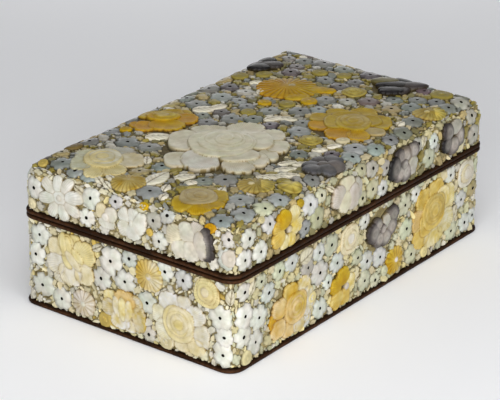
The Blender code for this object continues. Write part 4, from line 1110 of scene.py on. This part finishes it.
def bed_surface(name, body, face_names, material, slot, nodes, taken):
    """The cement: a lumpy grid over each face, settled on the rounded body, turned in at the outer edges."""
    flats, sinks, dirt_shades, quads, start = [], [], [], [], 0
    for face_name in face_names:
        face = FACES[face_name]
        columns = int(2 * face.half_u / CEMENT_STEP) + 1
        along = np.linspace(face.low_v, face.high_v, int((face.high_v - face.low_v) / CEMENT_STEP) + 1)
        if face_name != "top":
            above = [face.high_v + 0.01] if body.top is None else []
            along = np.concatenate([[face.low_v - 0.01], along, above])
        u, v = np.meshgrid(np.linspace(-face.half_u, face.half_u, columns), along)
        flats.append((face.middle + u[..., None] * face.right + v[..., None] * face.up).reshape(-1, 3))
        # How far the cement is darkened: most next to the flowers and small pieces, a little at the face's
        # edges, as painted shade with dirt
        near = clearance(face_name, u.ravel(), v.ravel(), taken[face_name])
        clear = clearance(face_name, u.ravel(), v.ravel(), [])
        beside = np.maximum(np.exp(-np.abs(near) / 0.9), 1.3 * np.exp(-np.abs(clear) / 1.4))
        dirt_shades.append(np.where(clear < 1.5, 0.35, beside))
        sinks.append(((v < face.low_v) | (v > face.high_v)).ravel())
        quads.append(start + grid_faces(len(along), columns, False))
        start += u.size
    flat = np.concatenate(flats)
    _, first, same = np.unique(np.round(flat, 3), axis=0, return_index=True, return_inverse=True)
    flat, sunk, dirt_shade = flat[first], np.concatenate(sinks)[first], np.concatenate(dirt_shades)[first]
    on_bed, outward = body.nearest(flat)
    rough = 0.26 * lumps(on_bed, 5.0, 1) + 0.22 * lumps(on_bed, 2.4, 2) - 0.25 * dirt_shade - 0.05
    height = np.where(sunk, -BED_DEPTH, rough)
    ochre = blend(OCHRE, PALE_OCHRE, 0.5 + 0.6 * lumps(on_bed, 3.0, 5))
    ochre = blend(ochre, DARK_OCHRE, smooth(1.6 * lumps(on_bed, 6.0, 7) - 0.3))
    # Cement facing up takes a darker colour: partly its own, partly painted shade
    ochre = blend(ochre, TOP_OCHRE_AND_SHADE, 0.85 * smooth(4.0 * outward[:, 2] - 2.0))
    # Towards dark brown by that share: painted shade with dirt
    colours = blend(ochre, GRIME_AND_SHADE, dirt_shade - 0.25 * lumps(on_bed, 2.4, 9))
    shape = Shape()
    shape.add((on_bed + outward * height[:, None])[None], colours[None], same.ravel()[np.concatenate(quads)])
    return shape.piece(name, material, slot, nodes)


def at_heights(plan, height):
    """Rows of plan points, each row at its own height."""
    return np.concatenate([plan, np.broadcast_to(height[:, None, None], plan.shape[:2] + (1,))], axis=-1)


def strip(name, node, material, slot):
    """A strip round the box: a flat back and a rounded bead, carried round the rounded corners."""
    low, high = millimetres(node)
    half_x, half_y = millimetres("base_carcass")[1][:2]
    middle, half = (low[2] + high[2]) / 2, (high[2] - low[2]) / 2
    swing = np.linspace(-math.pi / 2, math.pi / 2, 11)
    proud = STRIP_PROUD - STRIP_BEAD + STRIP_BEAD * np.cos(swing) ** 0.6
    height = middle + half * np.sin(swing)
    proud = np.concatenate([[BED_MARGIN], proud, [BED_MARGIN]])
    height = np.concatenate([[low[2]], height, [high[2]]])
    crest_wear_and_sheen = np.concatenate([[0.0], np.cos(swing) ** 3, [0.0]])
    arc = np.linspace(0.0, math.pi / 2, 12)
    share = np.linspace(0.0, 1.0, 60)[1:-1, None]
    centres = np.array([(1, 1), (-1, 1), (-1, -1), (1, -1)])
    centres = centres * (half_x - CARCASS_CORNER, half_y - CARCASS_CORNER)
    outline = []
    for quarter, (centre, following) in enumerate(zip(centres, np.roll(centres, -1, axis=0))):
        angle = arc + quarter * math.pi / 2
        outward = np.stack([np.cos(angle), np.sin(angle)], axis=-1)
        outline.append(np.concatenate([np.tile(centre, (len(arc), 1)), outward], axis=1))
        between = centre * (1.0 - share) + following * share
        outline.append(np.concatenate([between, np.tile(outward[-1], (len(share), 1))], axis=1))
    path = np.concatenate(outline)
    plan = path[None, :, :2] + (CARCASS_CORNER + proud[:, None, None]) * path[None, :, 2:]
    wave = 0.12 * lumps(at_heights(plan, height), 9.0, 3)
    plan = plan - path[None, :, 2:] * (np.abs(wave) * (proud > BED_MARGIN)[:, None])[..., None]
    points = at_heights(plan, height)
    # The bead's crest is lighter: partly rubbed lacquer, partly a painted highlight
    wear_and_sheen = crest_wear_and_sheen[:, None] * smooth(0.5 + 0.9 * lumps(points, 14.0, 4))
    colours = blend(LACQUER, LACQUER_WEAR_AND_SHEEN, wear_and_sheen ** 2)
    rows, columns = points.shape[:2]
    index = np.arange(columns)
    after, last = (index + 1) % columns, (rows - 1) * columns
    back = np.stack([last + index, last + after, after, index], axis=-1)
    shape = Shape()
    faces = np.concatenate([grid_faces(rows, columns, True), back])
    shape.add(points.reshape(1, -1, 3), colours.reshape(1, -1, 3), faces[:, ::-1])
    return shape.piece(name, material, slot, (node,))


class Wire:
    """A socket whose sums, differences and products add Math nodes to its material."""

    def __init__(self, tree, socket):
        self.tree, self.socket = tree, socket

    def math(self, operation, other, swapped=False):
        first, second = (other, self) if swapped else (self, other)
        return self.tree.node("ShaderNodeMath", {"operation": operation}, {0: first, 1: second})

    def __add__(self, other):
        return self.math("ADD", other)

    def __sub__(self, other):
        return self.math("SUBTRACT", other)

    def __rsub__(self, other):
        return self.math("SUBTRACT", other, swapped=True)

    def __mul__(self, other):
        return self.math("MULTIPLY", other)

    __radd__, __rmul__ = __add__, __mul__


class Finish:
    """A material with one Principled shader, and the nodes that feed it."""

    def __init__(self, name, constants):
        self.material = bpy.data.materials.new(name)
        self.material.use_nodes = True
        self.nodes, self.links = self.material.node_tree.nodes, self.material.node_tree.links
        self.shader = self.nodes["Principled BSDF"]
        for socket, value in constants.items():
            self.shader.inputs[socket].default_value = value

    def node(self, kind, settings, inputs, output=0):
        """Add any node: its settings first, then the values or wires of its sockets."""
        made = self.nodes.new(kind)
        for key, value in settings.items():
            if key == "stops":
                stops = made.color_ramp.elements
                for index, (place, colour) in enumerate(value):
                    stop = stops[index] if index < 2 else stops.new(place)
                    stop.position, stop.color = place, (*colour, 1.0)
            else:
                setattr(made, key, value)
        for key, value in inputs.items():
            if isinstance(value, Wire):
                self.links.new(value.socket, made.inputs[key])
            else:
                made.inputs[key].default_value = value
        return Wire(self, made.outputs[output])

    def feed(self, socket, wire):
        self.links.new(wire.socket, self.shader.inputs[socket])

    def own_colour(self):
        """The colour kept at each point of the piece."""
        return self.node("ShaderNodeAttribute", {"attribute_name": PAINT}, {}, "Color")

    def noise(self, size, detail, stretch=None):
        """Noise with lumps of about a size in millimetres, drawn out where the stretch is below 1."""
        spot = self.node("ShaderNodeTexCoord", {}, {}, "Object")
        if stretch:
            spot = self.node("ShaderNodeMapping", {}, {"Vector": spot, "Scale": stretch})
        inputs = {"Vector": spot, "Scale": 1.0 / (size * MM), "Detail": detail}
        return self.node("ShaderNodeTexNoise", {}, inputs)

    def ramp(self, value, *stops):
        return self.node("ShaderNodeValToRGB", {"stops": stops}, {"Fac": value})

    def stain(self, colour, share, value, *stops):
        """The colour multiplied, by a share, by a ramp over a value."""
        return self.node("ShaderNodeMix", {"data_type": "RGBA", "blend_type": "MULTIPLY"},
                         {0: share, 6: colour, 7: self.ramp(value, *stops)}, 2)

    def bump(self, strength, depth, height):
        """Make a value raise the surface, by a depth in millimetres."""
        inputs = {"Strength": strength, "Distance": depth * MM, "Height": height}
        self.feed("Normal", self.node("ShaderNodeBump", {}, inputs))


def shell_finish(name, roughness, gloss, pearl, scratch, mirror=0.3):
    """Carved shell: its own colour, clouded, with a bloom of pale pinks and greens under a thin gloss."""
    constants = {"IOR": 1.45, "Coat Roughness": 0.22, "Coat IOR": 1.35, "Specular IOR Level": mirror}
    finish = Finish(name, constants)
    cloud, fine = finish.noise(5.0, 4.0), finish.noise(0.9, 3.0)
    colour = finish.stain(finish.own_colour(), 0.9, cloud,
                          (0.32, (0.765, 0.730, 0.630)), (0.66, (1.02, 1.0, 0.945)))
    colour = finish.stain(colour, pearl, finish.noise(7.5, 1.0), (0.32, (0.86, 0.97, 0.90)),
                          (0.68, (1.0, 0.91, 0.93)), (0.5, (0.95, 0.96, 1.0)))
    finish.feed("Base Color", colour)
    finish.feed("Roughness", fine * 0.22 + (roughness - 0.11))
    finish.feed("Coat Weight", finish.noise(3.0, 2.0) * gloss)
    finish.bump(scratch, 0.15, fine + cloud)
    return finish.material


def cement_finish():
    """Cement: its own mottled colour, broken by specks, and rough."""
    finish = Finish("bed_cement", {"IOR": 1.45})
    speck = finish.noise(0.7, 4.0)
    finish.feed("Base Color", finish.stain(finish.own_colour(), 0.85, speck,
                                           (0.35, (0.50, 0.46, 0.38)), (0.62, (1.2, 1.15, 1.05))))
    finish.feed("Roughness", speck * 0.2 + 0.65)
    finish.bump(0.6, 0.4, speck)
    return finish.material


def hole_finish():
    """The drilled holes: nearly black and dull, painted shade with dirt."""
    finish = Finish("hole_dirt_and_shade", {"IOR": 1.3, "Specular IOR Level": 0.0})
    finish.feed("Base Color", finish.stain(finish.own_colour(), 1.0, finish.noise(0.6, 2.0),
                                           (0.3, (0.5, 0.5, 0.5)), (0.7, (1.6, 1.5, 1.3))))
    finish.feed("Roughness", finish.noise(0.5, 2.0) * 0.2 + 0.8)
    return finish.material


def strip_finish():
    """Dark lacquered strip; its own colour is reddish brown on the crest, partly rubbed and partly a painted
    highlight.
    """
    finish = Finish("strip_lacquer", {"IOR": 1.4, "Coat Roughness": 0.25, "Specular IOR Level": 0.08})
    wear = finish.noise(2.0, 5.0)
    finish.feed("Base Color", finish.stain(finish.own_colour(), 1.0, wear,
                                           (0.35, (0.50, 0.42, 0.32)), (0.72, (1.30, 0.98, 0.68))))
    finish.feed("Roughness", wear * 0.3 + 0.35)
    finish.feed("Coat Weight", finish.noise(6.0, 2.0) * 0.05)
    finish.bump(0.35, 0.2, wear)
    return finish.material


def wood_finish():
    """Dark stained wood with its grain along the length, under lacquer."""
    finish = Finish("carcass_lacquer", {"IOR": 1.5, "Coat Roughness": 0.15, "Coat Weight": 0.3})
    grain = finish.noise(1.6, 6.0, (0.06, 1.0, 1.0))
    stain = finish.ramp(grain, (0.30, (0.018, 0.010, 0.007)), (0.72, (0.075, 0.042, 0.024)))
    finish.feed("Base Color", stain)
    finish.feed("Roughness", grain * 0.25 + 0.3)
    finish.bump(0.25, 0.2, grain)
    return finish.material


def dress_face(face_name, shapes, chance):
    """All the small pieces on one face, and the places that they take."""
    places = list(BLOSSOM_PLACES.get(face_name, ()))
    spots = [(u, v, ROUND_SHARE * radius) for u, v, radius, _ in places]
    for u, v, length, width, angle in LEAVES.get(face_name, ()):
        make_leaf(shapes["leaves"], face_name, u, v, length, width, angle, chance)
        turn = math.radians(angle)
        for share in (-0.28, 0.0, 0.28):
            step = share * length
            spots.append((u + step * math.cos(turn), v + step * math.sin(turn), width * 0.36))
    buttons = BUTTONS.get(face_name, ())
    if buttons:
        make_buttons(shapes["buttons"], face_name, buttons, chance)
        spots += [(u, v, ROUND_SHARE * radius) for u, v, radius, _ in buttons]
    common = COMMON_BLOSSOMS.get(face_name, COMMON_BLOSSOMS["side"])
    for u, v, radius in fill(face_name, spots, BLOSSOM_TRIES, *BLOSSOM_ROOM, chance):
        places.append((u, v, radius, common[int(chance.integers(5))]))
        spots.append((u, v, ROUND_SHARE * radius))
    make_blossoms(shapes["blossoms"], shapes["holes"], face_name, places, chance)
    face = FACES[face_name]
    area = 2 * face.half_u * (face.high_v - face.low_v)
    tones, odds = FILL_TONES.get(face_name, FILL_TONES["side"])
    taken = list(spots)
    rooms = [(make_florets, FLORET_ROOM)] + [(make_flakes, room) for room in FLAKE_ROOMS]
    for make, (share, *room) in rooms:
        found = fill(face_name, taken, int(area / share), *room, chance)
        make(shapes["chips"], face_name, found, tones, odds, chance)
        taken += found
    return spots


def dress_box():
    """Every piece of the box, over the frame's nodes."""
    shells = {
        "white": shell_finish("white_pearl", 0.38, 0.45, 0.3, 0.25),
        "blacklip": shell_finish("blacklip_pearl", 0.40, 0.2, 0.3, 0.25, 0.2),
    }
    for name in ("amber", "yellow", "lemon", "tan", "olive"):
        shells[name] = shell_finish(name + "_shell", 0.46, 0.08, 0.06, 0.3, 0.14)
    blossom = shell_finish("blossom_pearl", 0.38, 0.4, 0.35, 0.2)
    chip = shell_finish("chip_shell", 0.42, 0.35, 0.2, 0.35)
    # dirt is the holes' near-black finish: painted shade with dirt
    cement, dirt, lacquer, wood = cement_finish(), hole_finish(), strip_finish(), wood_finish()
    seed = FLOWER_SEED
    for face_name, flowers in FLOWERS.items():
        for name, kind, shell, *place in flowers:
            carved_flower(name, face_name, kind, shell, *place, seed, shells[shell])
            seed += 1
    for part in ("base", "lid"):
        shapes = {name: Shape() for name in ("blossoms", "holes", "chips", "leaves", "buttons")}
        names = [name for name in FACES if name.startswith(part) or (part == "lid" and name == "top")]
        taken = {}
        for order, face_name in enumerate(names):
            chance = np.random.default_rng(FACE_SEED + order + LID_SEED * (part == "lid"))
            taken[face_name] = dress_face(face_name, shapes, chance)
        shapes["blossoms"].piece(part + "_blossoms", blossom, "white_shell")
        shapes["holes"].piece(part + "_blossom_holes", dirt, "cement_bed")
        shapes["chips"].piece(part + "_chips", chip, "cement_bed", flat=True)
        shapes["leaves"].piece(part + "_leaves", chip, "white_shell")
        shapes["buttons"].piece(part + "_buttons", shells["amber"], "amber_shell")
        body, bed = (BASE, "base_bed") if part == "base" else (LID, "lid_bed")
        bed_surface(part + "_cement", body, names, cement, "cement_bed", (bed,), taken)
    for name in ("base_foot_strip", "base_rim_strip", "lid_rim_strip"):
        strip(name + "_bead", name, lacquer, "edge_strip")
    for name in ("base_carcass", "lid_carcass"):
        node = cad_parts[name]
        node.data.materials.clear()
        node.data.materials.append(wood)


def make_camera():
    """The photograph's view: from above the near left corner."""
    azimuth, elevation, roll = (math.radians(angle) for angle in (VIEW_AZIMUTH, VIEW_ELEVATION, VIEW_ROLL))
    target, distance = Vector(VIEW_TARGET) * MM, VIEW_DISTANCE * MM
    back = Vector((math.sin(azimuth) * math.cos(elevation), -math.cos(azimuth) * math.cos(elevation),
                   math.sin(elevation)))
    level = Vector((math.cos(azimuth), math.sin(azimuth), 0.0))
    rise = back.cross(level)
    right = level * math.cos(roll) + rise * math.sin(roll)
    up = rise * math.cos(roll) - level * math.sin(roll)
    data = bpy.data.cameras.new("camera")
    data.lens, data.sensor_width, data.clip_start = VIEW_LENS, VIEW_SENSOR, VIEW_NEAR
    camera = bpy.data.objects.new("camera", data)
    bpy.context.scene.collection.objects.link(camera)
    turned = Matrix((right, up, back)).transposed().to_4x4()
    camera.matrix_world = Matrix.Translation(target + back * distance) @ turned
    bpy.context.scene.camera = camera


def area_light(name, place, aim, size, power, colour, spread):
    """A soft rectangular light that looks from its place at its aim, and isn't itself seen."""
    data = bpy.data.lights.new(name, "AREA")
    data.spread = math.radians(spread)
    data.shape, data.energy, data.color = "RECTANGLE", power, colour
    data.size, data.size_y = size
    light = bpy.data.objects.new(name, data)
    light.location = place
    light.visible_camera = False
    light.rotation_euler = (Vector(aim) - Vector(place)).to_track_quat("-Z", "Y").to_euler()
    bpy.context.scene.collection.objects.link(light)


def make_studio():
    """A pale floor that curves up far behind, an even pale surround, and the soft lights."""
    rows, columns = 60, 3
    along = np.linspace(FLOOR_NEAR, FLOOR_FAR, rows)
    bend = np.clip(along - FLOOR_FLAT, 0.0, FLOOR_CURL) / FLOOR_BEND
    depth = np.minimum(along, FLOOR_FLAT) + FLOOR_BEND * np.sin(bend)
    rise = FLOOR_BEND * (1.0 - np.cos(bend))
    wide = np.linspace(-FLOOR_WIDE, FLOOR_WIDE, columns)
    turn = math.radians(VIEW_AZIMUTH)
    forward = np.array([-math.sin(turn), math.cos(turn)])
    sideways = np.array([math.cos(turn), math.sin(turn)])
    plan = depth[:, None, None] * forward + wide[None, :, None] * sideways
    quads = grid_faces(rows, columns, False)[:, ::-1]
    mesh = bpy.data.meshes.new("floor")
    mesh.from_pydata(at_heights(plan, rise).reshape(-1, 3).tolist(), [], quads.tolist())
    mesh.shade_smooth()
    finish = Finish("floor_paper", {"Roughness": 0.75, "Base Color": FLOOR_COLOUR})
    mesh.materials.append(finish.material)
    floor = bpy.data.objects.new("floor", mesh)
    bpy.context.scene.collection.objects.link(floor)
    world = bpy.data.worlds.new("studio")
    world.use_nodes = True
    surround = world.node_tree.nodes["Background"].inputs
    surround["Color"].default_value, surround["Strength"].default_value = SURROUND, SURROUND_STRENGTH
    bpy.context.scene.world = world
    for light in LIGHTS:
        area_light(*light)
    bpy.context.scene.view_settings.view_transform = "Standard"


dress_box()
make_camera()
make_studio()
